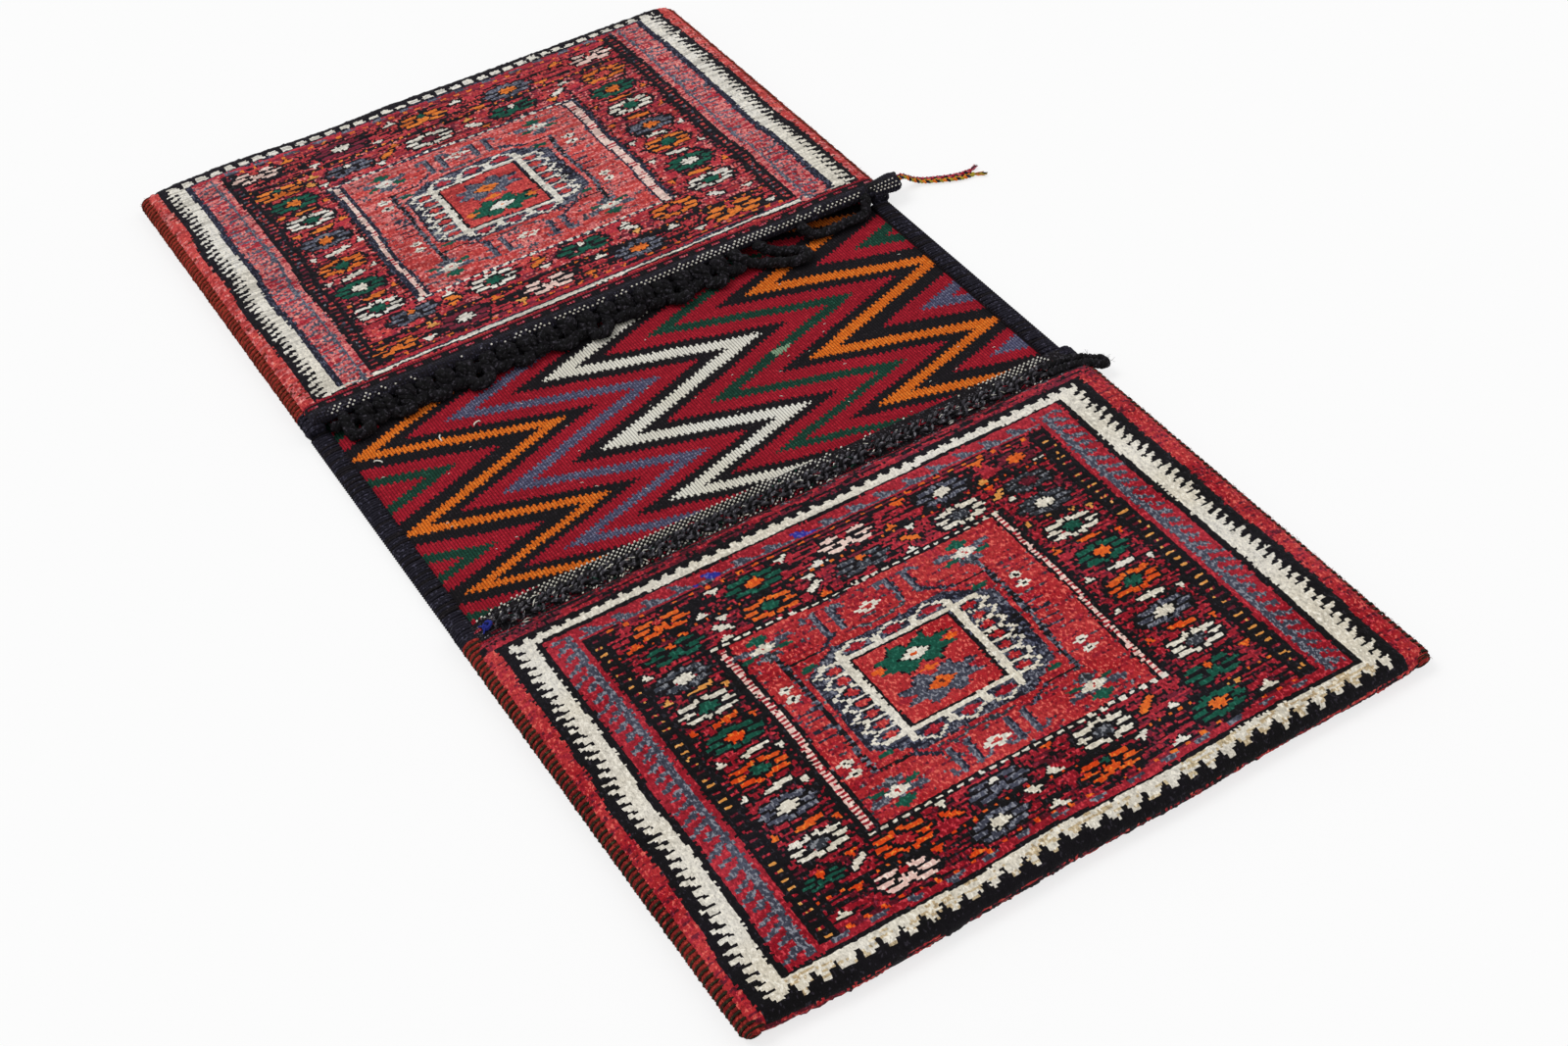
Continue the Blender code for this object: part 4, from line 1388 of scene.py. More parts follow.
    def field_flowers(self) -> None:
        """The four flowers and the small lozenges round the medallion."""
        for u, v, way in ((-46.0, -42.3, 1), (43.5, -42.3, 1), (-42.6, 40.6, -1), (43.5, 40.6, -1)):
            for side in (-1, 1):
                self.line([(u + side * 4, v - way * 0.8), (u + side * 11, v - way * 1.8)], 2.6, HEATHER)
                self.line([(u + side * 5, v + way * 1.6), (u + side * 9.4, v + way * 2.6)], 2.0, GREEN)
                self.line([(u + side * 2, v + way * 3.6), (u + side * 4.6, v + way * 5.2)], 1.6, HEATHER)
            self.gems(u, v - way * 5.0, (5.4, 2.8, GREEN))
            self.gems(u, v + way * 4.8, (3.8, 3.0, SLATE))
            self.gems(u, v, (7.0, 3.4, HEATHER), (6.0, 2.8, CREAM), (1.5, 0.8, MADDER))
        for u, v in ((-2.3, -40.2), (-0.4, 42.0)):
            self.gems(u, v, (8.0, 3.6, CRIMSON), (6.5, 2.8, CREAM), (3.0, 1.2, MADDER))
        left = ((-50.9, -20.2), (-50.9, -15.0), (-50.9, 20.2), (-50.9, 25.8))
        right = ((52.1, -21.1), (52.1, -15.8), (54.0, 18.6), (54.0, 24.1))
        for u, v in (*left, *right):
            self.gems(u, v, (3.7, 2.1, CREAM), (1.3, 0.9, COAL))

    def hook_bars(self) -> None:
        """The pairs of hooked bars at both ends of the medallion, and the lines that join them to it."""
        ends = (((-22.6, -15.1, 10.8, 18.4), -36.0, -47.4), ((-16.7, -9.6, 8.0, 15.3), 35.6, 46.0))
        for bars, root, tip in ends:
            way = 1.0 if tip > root else -1.0
            for k, u in enumerate(bars):
                out = 1.0 if k % 2 else -1.0
                self.line([(u, root), (u, tip)], 2.6, HEATHER)
                self.line([(u + 1.0, root), (u + 1.0, tip)], 1.0, NIGHT)
                hook = [(u, tip), (u + out * 4.0, tip + way * 0.4), (u + out * 5.0, tip - way * 1.8)]
                self.line(hook, 1.6, HEATHER)
            for side in (-1, 1):
                knee = (side * 30.0, way * 29.6)
                self.line([(side * 45.0, way * 29.4), knee], 1.2, COAL)
                self.line([knee, (side * 20.0, way * 35.4)], 1.5, NIGHT)
            self.line([(-14.0, way * 33.6), (-2.0, way * 31.8), (10.0, way * 33.6)], 1.3, SLATE)
        for side in (-1, 1):
            post = [(side * 44.8, -36.0), (side * 44.8, 29.0)]
            self.line(post, 1.9, HEATHER)
            self.chart.mingle(self.chart.stroke([self.at(*spot) for spot in post], 1.9), COAL, 0.5)
            for v in (-7.0, -2.5, 2.5, 7.0):
                self.line([(side * 46.0, v), (side * 54.0, v)], 1.1, NIGHT)
            for v, end in ((-24.6, -24.2), (24.6, 24.4)):
                self.line([(side * 36.0, v), (side * 39.5, end)], 2.4, GREEN)


def normals_along(path: Array) -> Array:
    """The outward direction at each point of a path of (along, up) points."""
    ahead = np.gradient(path, axis=0)
    ahead /= np.linalg.norm(ahead, axis=1)[:, None] + 1e-12
    return np.stack([-ahead[:, 1], ahead[:, 0]], axis=1)


def even_steps(path: Sequence[Spot] | Array, step: float) -> Array:
    """Points at even steps along a path of (along, up) points.

    Args:
        path: The points to follow.
        step: The wanted distance between points.

    Returns:
        The new points, both ends included.
    """
    path = np.asarray(path, float)
    reach = lengths_along(path)
    count = max(2, int(round(reach[-1] / step)))
    wanted = np.linspace(0, reach[-1], count + 1)
    return np.stack([np.interp(wanted, reach, path[:, k]) for k in range(2)], axis=1)


def arc(centre: Spot, radius: float, start: float, end: float, steps: int) -> list[Spot]:
    """Points on an arc, its angles given in degrees from the along direction."""
    angles = np.radians(np.linspace(start, end, steps + 1))
    return [(centre[0] + radius * math.cos(a), centre[1] + radius * math.sin(a)) for a in angles]


def ribs(count: int) -> Array:
    """1 and -1 by turns, as the ribs of a cloth lie."""
    return np.where(np.arange(count) % 2, 1, -1)


def swept(path: Array, x: Array, height: Array, dip: Array) -> Array:
    """A grid of points along a section.

    Args:
        path: The section, as (along, up) points.
        x: The places across.
        height: How far each point stands out of the section.
        dip: How far it lies lower, for each place across.

    Returns:
        The points, rows by columns by three.
    """
    outward = normals_along(path)
    points = np.zeros((len(path), len(x), 3))
    points[:, :, 0] = x
    points[:, :, 1] = path[:, 0][:, None] + outward[:, 0][:, None] * height
    points[:, :, 2] = path[:, 1][:, None] + outward[:, 1][:, None] * height - dip[None, :]
    return points


@dataclass(frozen=True)
class PileFace:
    """One knotted face, from its mouth round the fold to the underside."""

    name: str
    layout: FaceLayout
    near: bool
    seed: int
    columns: int = 286
    half_width: float = 0.2985
    tuft: float = 0.00055
    ridge: float = 0.0002
    groove: float = 0.0005
    swell: float = 0.0009

    def profile(self) -> Array:
        """The face's section as (Y, Z) points a knot apart, listed from the mouth."""
        radius = PLAN.face_top / 2
        if self.near:
            start = PLAN.near_mouth - PLAN.lip_length + 0.0021
            fold = PLAN.near_end + radius
            steps = [(start, PLAN.lip_top - 0.0002), (start - 0.0022, PLAN.lip_top + 0.002)]
            steps += [(start - 0.0058, PLAN.face_top - 0.0004), (start - 0.0092, PLAN.face_top)]
            steps += arc((fold, radius), radius, 90, 270, 24)
        else:
            start = PLAN.hem_centre_y + PLAN.hem_radius + PLAN.hem_neck
            fold = PLAN.far_end - radius
            steps = [(start, PLAN.face_top - 0.0022), (start + 0.003, PLAN.face_top - 0.0006)]
            steps += [(start + 0.008, PLAN.face_top)]
            steps += arc((fold, radius), radius, 90, -90, 24)
        return even_steps(steps, KNOT)

    def surface(self, chart: KnotChart, path: Array) -> Array:
        """The points of the face's grid, with tufts, ridges and the dip at the sides.

        Args:
            chart: The chart whose knots the grid carries.
            path: The section, one point more than the chart has rows.

        Returns:
            The points, rows by columns by three.
        """
        rng = np.random.default_rng(self.seed + 7)
        rows, columns = len(path), self.columns + 1
        x = np.linspace(-self.half_width, self.half_width, columns)
        outward = normals_along(path) * (1 if not self.near else -1)
        if outward[len(path) // 2, 1] < 0:
            outward = -outward
        dip = PLAN.dip(x)
        height = self.tuft * rng.normal(0, 0.55, (rows, columns))
        height += 0.0003 * smooth_noise(rng, rows, columns, 5)
        height += self.ridge * ribs(rows)[:, None] * 0.5
        height += self.swell * smooth_noise(rng, rows, columns, 46)
        wander = 0.0022 * smooth_noise(rng, 1, columns, 44)[0]
        toward_end = np.clip(np.abs(path[:, 0] - path[0, 0]) / 0.4, 0, 1) ** 2
        height -= self.groove * self.edges(chart.knots)
        height -= self.partings(rng, rows, columns)
        place = np.zeros((rows, columns, 3))
        place[:, :, 0] = x[None, :] + rng.uniform(-0.2, 0.2, (rows, columns)) * KNOT
        slide = rng.uniform(-0.2, 0.2, (rows, columns)) * KNOT
        drop = (height - dip[None, :])[:, :, None]
        along = np.gradient(path, axis=0) / KNOT
        spot = path[:, None, :] + outward[:, None, :] * drop + along[:, None, :] * slide[:, :, None]
        place[:, :, 1:] = spot
        place[:, :, 1] += toward_end[:, None] * wander[None, :]
        place[0, :, 2] -= 0.0006
        place[:, :, 2] = np.maximum(place[:, :, 2], 0.0002)
        return place

    def edges(self, knots: Array) -> Array:
        """Where neighbouring knots differ in wool, so that the pile parts a little."""
        apart = np.zeros((knots.shape[0] + 1, knots.shape[1] + 1))
        changed = (knots[:-1, :-1] != knots[1:, 1:]) | (knots[:-1, 1:] != knots[1:, :-1])
        apart[1:-1, 1:-1] = changed
        return apart

    def partings(self, rng: Generator, rows: int, columns: int) -> Array:
        """Rows where the pile has parted along the weft, here and there.

        Args:
            rng: The seeded source of numbers.
            rows: How many rows of points there are.
            columns: How many points a row has.

        Returns:
            How far each point lies below the pile.
        """
        depth = np.zeros((rows, columns))
        for row in rng.choice(np.arange(30, rows - 34), 15, replace=False):
            strength = np.clip(smooth_noise(rng, 1, columns, 24)[0] + 0.15, 0, 1)
            depth[row] += 0.0014 * strength
        return depth

    def build(self) -> Piece:
        """Knot the chart and build the face.

        Returns:
            The face.
        """
        path = self.profile()
        chart = KnotChart(self.columns, len(path) - 1, self.seed)
        FaceWeaver(chart, self.layout).weave()
        points = self.surface(chart, path)
        wools = DRESSER.wools(YARNS, Cloth.PILE)
        return cloth_mesh(self.name, points, chart.knots, wools, flip=not self.near)


@dataclass(frozen=True)
class MouthLip:
    """The flat-woven lip of the near pocket, with its dashes and its rows of twined stitches."""

    half_width: float = 0.2965
    step: float = 0.0012
    columns: int = 466
    pepper_rows: tuple[float, ...] = (-0.1302, -0.1329, -0.1356, -0.1383)
    second_rows: tuple[float, ...] = (-0.1530, -0.1556, -0.1582)

    def profile(self) -> Array:
        """The lip's section as (Y, Z) points, from under the edge to the pile."""
        edge, low, top = PLAN.near_mouth, PLAN.ceiling + 0.0002, PLAN.lip_top
        middle = (low + top) / 2
        steps = [(edge - 0.012, low), *arc((edge - 0.002, middle), (top - low) / 2, -90, -270, 8)]
        steps = [(2 * (edge - 0.002) - y if k else y, z) for k, (y, z) in enumerate(steps)]
        return even_steps([*steps, (edge - PLAN.lip_length - 0.0035, top)], self.step)

    def sag(self, x: Array, y: Array) -> Array:
        """How far the edge draws back at the left corner."""
        share = np.clip((-x - 0.245) / 0.045, 0, 1)
        near_edge = np.clip((y + 0.152) / 0.02, 0, 1)
        return -0.009 * share**2 * near_edge

    def colours(self, path: Array) -> Array:
        """The wool of each cell: dark weft, pink dashes and a red stripe by the pile."""
        y = (path[:-1, 0] + path[1:, 0])[:, None] / 2
        x = np.linspace(-self.half_width, self.half_width, self.columns)[None, :]
        rng = np.random.default_rng(5)
        picks = np.full((len(path) - 1, self.columns), COAL)
        picks[rng.random(picks.shape) < 0.12] = SLATE
        place = (x + 0.3 * y) / 0.0178
        dashes = (y < -0.1408) & (y > -0.1452) & (place % 1 < 0.52)
        picks[dashes] = CRIMSON
        picks[dashes & (rng.random(picks.shape) < 0.3)] = ROSE
        marks = (y < -0.1548) & (y > -0.1572) & ((x / 0.0235) % 1 < 0.4)
        picks[marks] = WINE
        picks[np.broadcast_to(y < -0.1602, picks.shape)] = CRIMSON
        return picks

    def build(self) -> Piece:
        """Build the lip's cloth.

        Returns:
            The lip.
        """
        rng = np.random.default_rng(31)
        path = self.profile()
        rows, columns = len(path), self.columns + 1
        x = np.linspace(-self.half_width, self.half_width, columns)
        height = 0.00022 * ribs(columns)[None, :] + rng.normal(0, 0.00006, (rows, columns))
        height = height + 0.0006 * smooth_noise(rng, rows, columns, 40)
        points = swept(path, x, height, 0.8 * PLAN.dip(x))
        points[:, :, 1] += self.sag(x[None, :], path[:, 0][:, None])
        points[-1, :, 2] -= 0.0012
        return cloth_mesh("near_mouth_lip", points, self.colours(path), DRESSER.wools(FLAT_YARNS, Cloth.FLAT))

    def twining(self) -> Piece:
        """The slanting white, green and dark stitches twined along the lip.

        Returns:
            The stitches.
        """
        rng = np.random.default_rng(71)
        bundle, low = StrandBundle(), np.array([0, 0, 0.0009])
        patch = smooth_noise(rng, 1, 260, 18)[0]
        for row, y in enumerate(self.pepper_rows + self.second_rows):
            second = row >= len(self.pepper_rows)
            for k in range(114):
                x = -0.2845 + 0.0049 * k + 0.0018 * row
                if patch[k] + rng.uniform(-0.4, 0.4) < (-0.05 if second else -0.5 + 0.1 * row):
                    continue
                pick = int(rng.choice(3, p=(0.62, 0.14, 0.24) if second else (0.97, 0.03, 0.0)))
                drawn = y + float(self.sag(np.array(x), np.array(y)))
                top = np.array([x, drawn, PLAN.lip_top + 0.0007 - 0.8 * float(PLAN.dip(np.array(x)))])
                bundle.stitch(top, np.array([0.0006, 0.0002, 0.0]), low, (0.0005, 0.00086), pick)
        return bundle.build("near_lip_twining", DRESSER.cords(CREAM, GREEN, CRIMSON), "wool_pile")


@dataclass(frozen=True)
class RolledHem:
    """The rolled edge of the far pocket, its neck and its twined stitches."""

    half_width: float = 0.2985
    columns: int = 428
    neck_end: float = 0.1842

    def profile(self) -> Array:
        """The hem's section as (Y, Z) points, from under the pile round the roll and up to it."""
        centre = (PLAN.hem_centre_y, PLAN.hem_centre_z)
        steps = [(centre[0] + 0.014, PLAN.ceiling + 0.0004)]
        steps += arc(centre, PLAN.hem_radius, -62, -300, 22)
        steps += [(centre[0] + 0.0072, centre[1] + 0.0038), (centre[0] + 0.011, centre[1] + 0.0042)]
        steps += [(self.neck_end, PLAN.face_top + 0.0003), (self.neck_end + 0.0012, PLAN.face_top - 0.002)]
        return even_steps(steps, 0.0012)

    def colours(self, path: Array) -> Array:
        """The wool of each cell: a night-blue roll, and a dark stripe with pink dashes behind it."""
        y = ((path[:-1, 0] + path[1:, 0]) / 2)[:, None]
        x = np.linspace(-self.half_width, self.half_width, self.columns)[None, :]
        rng = np.random.default_rng(6)
        picks = np.full((len(path) - 1, self.columns), NIGHT)
        picks[rng.random(picks.shape) < 0.35] = COAL
        behind = np.broadcast_to(y > PLAN.hem_centre_y + 0.0072, picks.shape)
        picks[behind] = COAL
        top = (path[:-1, 1] > PLAN.hem_centre_z)[:, None]
        dashes = behind & top & (y > 0.1772) & (y < 0.1798) & ((x / 0.0172 + 0.2) % 1 < 0.5)
        picks[dashes] = ROSE
        picks[dashes & (rng.random(picks.shape) < 0.5)] = CRIMSON
        picks[behind & top & (y > 0.1816)] = CRIMSON
        return picks

    def build(self) -> Piece:
        """Build the roll and its neck.

        Returns:
            The hem.
        """
        rng = np.random.default_rng(32)
        path = self.profile()
        rows, columns = len(path), self.columns + 1
        x = np.linspace(-self.half_width, self.half_width, columns)
        height = 0.00018 * ribs(columns)[None, :] + rng.normal(0, 0.00008, (rows, columns))
        height = height + 0.0009 * smooth_noise(rng, rows, columns, 30)
        height[:, [0, -1]] -= 0.0032
        points = swept(path, x, height, 0.6 * PLAN.dip(x))
        wools = DRESSER.wools(FLAT_YARNS, Cloth.FLAT)
        return cloth_mesh("far_mouth_hem", points, self.colours(path), wools, "dark_binding")

    def twining(self) -> Piece:
        """The slanting pale stitches twined along the front of the roll.

        Returns:
            The stitches.
        """
        rng = np.random.default_rng(72)
        bundle = StrandBundle()
        patch = smooth_noise(rng, 1, 260, 20)[0]
        radius = PLAN.hem_radius
        for row, degrees in enumerate((144, 121, 98)):
            angle = math.radians(degrees)
            away = np.array([0.0, math.cos(angle), math.sin(angle)])
            around = np.array([0.0, -math.sin(angle), math.cos(angle)])
            for k in range(112):
                x = -0.284 + 0.0050 * k + 0.0025 * row
                fade = 0.9 if x > -0.12 and row < 2 else (0.4 if row < 2 else -0.1)
                if patch[k] + rng.uniform(-0.6, 0.6) + fade < 0.0:
                    continue
                top = np.array([x, PLAN.hem_centre_y, PLAN.hem_centre_z]) + away * (radius + 0.0006)
                half = np.array([0.0005, 0, 0]) + around * 0.0001
                bundle.stitch(top, half, away * 0.0009, (0.0006, 0.00092), 0 if x > -0.1 or k % 3 else 1)
        return bundle.build("far_hem_twining", DRESSER.cords(CREAM, SLATE), "dark_binding")


@dataclass(frozen=True)
class Zigzag:
    """The bridge's pattern: bands of wool that swing to and fro across the strip."""

    swings: tuple[Spot, ...] = (
        (-190.0, 20.0), (-131.0, 160.0), (-87.0, 15.0), (-48.0, 149.0), (3.0, 0.0), (60.0, 162.0),
        (117.0, 0.0), (162.0, 128.0), (215.0, -10.0),
    )
    bands: tuple[tuple[float, Wool], ...] = (
        (-655.0, CRIMSON), (-620.0, GREEN), (-590.0, MADDER), (-548.0, COAL), (-515.0, ORANGE),
        (-480.0, COAL), (-445.0, MADDER), (-403.0, GREEN), (-371.0, MADDER), (-330.0, COAL),
        (-290.0, ORANGE), (-263.7, COAL), (-235.6, MADDER), (-197.3, HEATHER), (-167.2, MADDER),
        (-129.0, COAL), (-98.8, CREAM), (-64.0, COAL), (-35.4, MADDER), (7.6, GREEN), (38.5, MADDER),
        (82.0, COAL), (113.2, ORANGE), (146.5, COAL), (192.5, MADDER), (234.5, HEATHER), (270.5, MADDER),
        (315.0, COAL), (350.0, ORANGE),
    )

    def wool(self, x: Array, y: Array) -> Array:
        """The wool at each place.

        Args:
            x: Places across the strip, in metres.
            y: Places along it, in metres.

        Returns:
            The wools, as whole numbers.
        """
        ys, shifts = zip(*self.swings)
        shift = np.interp(y * 1000, ys, shifts)
        edges = np.array([edge for edge, _ in self.bands[1:]])
        wools = np.array([int(wool) for _, wool in self.bands])
        index = np.searchsorted(edges, x * 1000 - shift)
        picks = wools[index]
        right_accent = (index == len(self.bands) - 4) & (y > 0.06)
        picks[right_accent] = GREEN
        return picks


@dataclass(frozen=True)
class Bridge:
    """The flat-woven cloth between the pockets, ribbed along its warp."""

    under: float = 0.046
    columns: int = 428
    rows: int = 214
    rib: float = 0.00042

    def build(self) -> Piece:
        """Build the bridge with its zigzag bands.

        Returns:
            The bridge.
        """
        rng = np.random.default_rng(41)
        x = np.linspace(-PLAN.half_weave, PLAN.half_weave, self.columns + 1)
        y = np.linspace(PLAN.near_mouth - self.under, PLAN.far_mouth + self.under, self.rows + 1)
        shape = (self.rows + 1, self.columns + 1)
        height = self.rib * ribs(self.columns + 1)[None, :] * rng.uniform(0.7, 1.1, shape)
        height = height + 0.00012 * ribs(self.rows + 1)[:, None]
        height = height + 0.0005 * smooth_noise(rng, *shape, 36)
        points = np.zeros((*shape, 3))
        points[:, :, 0] = x[None, :]
        points[:, :, 1] = y[:, None] + 0.0006 * smooth_noise(rng, *shape, 20)
        points[:, :, 2] = PLAN.back_thickness + height
        mid_x = (x[:-1] + x[1:])[None, :] / 2 + rng.normal(0, 0.0005, (self.rows, 1))
        mid_y = np.broadcast_to((y[:-1] + y[1:])[:, None] / 2, (self.rows, self.columns))
        wander = 0.0016 * smooth_noise(rng, self.rows, self.columns, 26)
        step = 0.0012 * np.where(np.arange(self.columns) // 2 % 2, 1, -1)[None, :]
        picks = Zigzag().wool(mid_x + wander, mid_y + step)
        patch = (np.abs(mid_x - 0.103) < 0.011) & (np.abs(mid_y - 0.028) < 0.004) & (picks == GREEN)
        picks[patch & (rng.random(picks.shape) < 0.85)] = RUST
        return cloth_mesh("bridge_cloth", points, picks, DRESSER.wools(FLAT_YARNS, Cloth.FLAT))


@dataclass(frozen=True)
class Back:
    """The flat-woven underside of both pockets and of the bridge, with plain stripes."""

    columns: int = 214
    rows: int = 260
    stripe_step: float = 118.0
    stripes: tuple[tuple[int, int, Wool], ...] = (
        (0, 20, MADDER), (24, 30, ORANGE), (34, 60, NIGHT), (64, 70, CREAM), (74, 96, MADDER)
    )

    def build(self) -> Piece:
        """Build the underside.

        Returns:
            The underside.
        """
        rng = np.random.default_rng(43)
        radius = PLAN.face_top / 2
        x = np.linspace(-PLAN.half_weave, PLAN.half_weave, self.columns + 1)
        y = np.linspace(PLAN.near_end + radius, PLAN.far_end - radius, self.rows + 1)
        shape = (self.rows + 1, self.columns + 1)
        height = 0.0004 + 0.0003 * smooth_noise(rng, *shape, 24)
        points = np.zeros((*shape, 3))
        points[:, :, 0] = x[None, :]
        points[:, :, 1] = y[:, None]
        points[:, :, 2] = height
        picks = np.full((self.rows, self.columns), COAL)
        stripe = ((y[:-1] + y[1:]) / 2 * 1000) % self.stripe_step
        for low, high, wool in self.stripes:
            picks[(stripe >= low) & (stripe < high)] = int(wool)
        return cloth_mesh("back_cloth", points, picks, DRESSER.wools(FLAT_YARNS, Cloth.FLAT), flip=True)


@dataclass(frozen=True)
class PocketLining:
    """The inside of one pocket: its floor, its closed end and its ceiling."""

    name: str
    near: bool

    def build(self) -> Piece:
        """Build the lining.

        Returns:
            The lining.
        """
        radius = (PLAN.ceiling - PLAN.back_thickness) / 2
        way = -1.0 if self.near else 1.0
        mouth = PLAN.near_mouth if self.near else PLAN.far_mouth
        end = PLAN.near_end if self.near else PLAN.far_end
        fold = end - way * PLAN.face_top / 2
        turn = (90, 270) if self.near else (90, -90)
        steps = [(mouth + way * 0.0065, PLAN.ceiling)]
        steps += arc((fold, PLAN.back_thickness + radius), radius, *turn, 12)
        steps += [(mouth + way * 0.04, PLAN.back_thickness)]
        path = even_steps(steps, 0.006)
        columns = 145
        x = np.linspace(-PLAN.half_weave + 0.001, PLAN.half_weave - 0.001, columns)
        points = np.zeros((len(path), columns, 3))
        points[:, :, 0] = x
        points[:, :, 1] = path[:, 0][:, None]
        share = np.clip((np.abs(x) - 0.274) / 0.016, 0, 1)[None, :]
        under = (path[:, 1] > PLAN.back_thickness + radius)[:, None]
        height = path[:, 1][:, None] + 0.0003 * (np.arange(columns) % 2)[None, :]
        points[:, :, 2] = height - 0.004 * share**2 * under
        picks = np.full((len(path) - 1, columns - 1), CRIMSON)
        picks[(np.arange(len(path) - 1) // 4) % 3 == 0] = COAL
        return cloth_mesh(self.name, points, picks, DRESSER.wools(FLAT_YARNS, Cloth.FLAT), flip=self.near)


@dataclass(frozen=True)
class SideSeam:
    """The overcast seam of one side of a pocket: a padded core under slanting whip stitches."""

    name: str
    side: int
    near: bool
    pitch: float = 0.0030
    yarns: Spot = (0.0021, 0.0011)
    hair_limit: float = 0.3105
    middle_x: float = 0.2948
    middle_z: float = 0.0100
    half_width: float = 0.0106
    half_height: float = 0.0080

    def stations(self) -> list[Point]:
        """Places down the seam as (Y, width share, height share), from the mouth round into the fold."""
        way = -1.0 if self.near else 1.0
        mouth = PLAN.near_mouth if self.near else PLAN.far_mouth
        radius = PLAN.face_top / 2 - 0.0012
        straight = abs((PLAN.near_end if self.near else PLAN.far_end) - mouth) - radius - 0.0012
        count = int(straight / self.pitch)
        places = [(mouth + way * straight * k / count, 1.0, 1.0) for k in range(count + 1)]
        for degrees in (14, 28, 40, 50, 58):
            angle = math.radians(degrees)
            height = math.cos(angle)
            y = mouth + way * (straight + 0.92 * radius * math.sin(angle))
            places.append((y, 0.3 + 0.7 * height, height))
        return places

    def section(self, spot: Point, degrees: float, grow: float, slant: float) -> list[float]:
        """A point on the seam's rounded edge.

        Args:
            spot: The place down the seam.
            degrees: The angle round the edge, 90 at the top and -90 below.
            grow: How far outside the core the point lies.
            slant: How far along the seam it leans.

        Returns:
            The point.
        """
        y, width, height = spot
        angle = math.radians(degrees)
        x = self.side * (self.middle_x + (self.half_width * width + grow) * math.cos(angle))
        z = PLAN.face_top / 2 * (1 - height) + self.middle_z * height
        return [x, y + slant * degrees / 90, z + (self.half_height * height + grow) * math.sin(angle)]

    def build(self) -> Piece:
        """Build the core and every stitch over it.

        Returns:
            The seam.
        """
        rng = np.random.default_rng(50 + 2 * self.side + int(self.near))
        bundle = StrandBundle()
        places = self.stations()
        middle = self.side * self.middle_x
        core = [[middle, y, self.section((y, 1.0, high), 0, 0, 0)[2]] for y, _, high in places]
        thick = [self.half_height * 0.95 * high**2 for _, _, high in places]
        bundle.add(np.array(core[:9]), thick[:9], 8, 2)
        bundle.add(np.array(core[8:]), thick[8:], 8, 0)
        for k, spot in enumerate(places):
            dark = k % 2
            yarn = self.yarns[dark] * rng.uniform(0.92, 1.08) * (0.5 + 0.5 * spot[2])
            slant = rng.uniform(-0.0019, -0.0005)
            grow = rng.uniform(-0.0003, 0.0003) + (0.0004 if dark else -0.0010)
            dark = 2 if k < 8 else dark
            turns = (128, 108, 88, 66, 42, 18, -8, -36, -64, -90, -112)
            path = [self.section(spot, a, grow, slant) for a in turns]
            thick = [yarn * share for share in (0.5, 0.9, 1.0, 1.0, 1.0, 1.0, 1.0, 1.0, 0.95, 0.85, 0.6)]
            bundle.add(np.array(path), thick, 5, dark)
            for _ in range(0 if dark else 4):
                start = np.array(self.section(spot, rng.uniform(0, 120), yarn * 0.5, slant))
                out, along = self.side * rng.uniform(0, 0.0014), rng.uniform(-0.003, 0.003)
                tip = start + [out, along, rng.uniform(-0.0005, 0.0016)]
                tip[0] = self.side * min(abs(tip[0]), self.hair_limit)
                hair = np.array([start, (start + tip) / 2 + [0, 0, 0.0004], tip])
                bundle.add(hair, [0.0002, 0.00016, 0.0001], 3, dark)
        dark_wool = GREEN if self.near else RUST
        materials = DRESSER.cords(WHIPPING[MADDER], WHIPPING[dark_wool], NIGHT)
        return bundle.build(self.name + "_whipped", materials, "red_whipping", self.name)


@dataclass(frozen=True)
class EdgeBinding:
    """The overcast edge of the bridge, in night-blue yarn."""

    name: str
    side: int
    pitch: float = 0.0031
    yarn: float = 0.00145
    middle_x: float = 0.2932
    half_width: float = 0.0112
    half_height: float = 0.0031

    def build(self) -> Piece:
        """Build the core and the stitches that cover it.

        Returns:
            The binding.
        """
        rng = np.random.default_rng(60 + self.side)
        bundle = StrandBundle()
        start, end = PLAN.near_mouth + 2 * GAP, PLAN.far_mouth - 2 * GAP
        count = int((end - start) / self.pitch)
        middle = self.side * self.middle_x
        for shift in (-0.005, 0.0, 0.005):
            spine = [[middle + shift, start + (end - start) * k / 20, 0.0034] for k in range(21)]
            bundle.add(np.array(spine), 0.0028, 8, 1)
        for k in range(count):
            y = start + 0.0018 + (end - start - 0.0036) * k / (count - 1)
            slant = rng.uniform(0.0008, 0.0020)
            path = []
            for degrees in (138, 112, 84, 54, 24, -6, -36, -66, -92):
                angle = math.radians(degrees)
                x = middle + self.side * (self.half_width - self.yarn * 0.6) * math.cos(angle)
                z = 0.0038 + self.half_height * math.sin(angle)
                path.append([x, y + slant * degrees / 90, z])
            thick = [self.yarn * share for share in (0.6, 0.9, 1, 1, 1, 1, 1, 0.8, 0.5)]
            bundle.add(np.array(path), thick, 6, 0 if rng.random() > 0.22 else 1)
        return bundle.build(self.name + "_whipped", DRESSER.cords(NIGHT, COAL), "dark_binding", self.name)


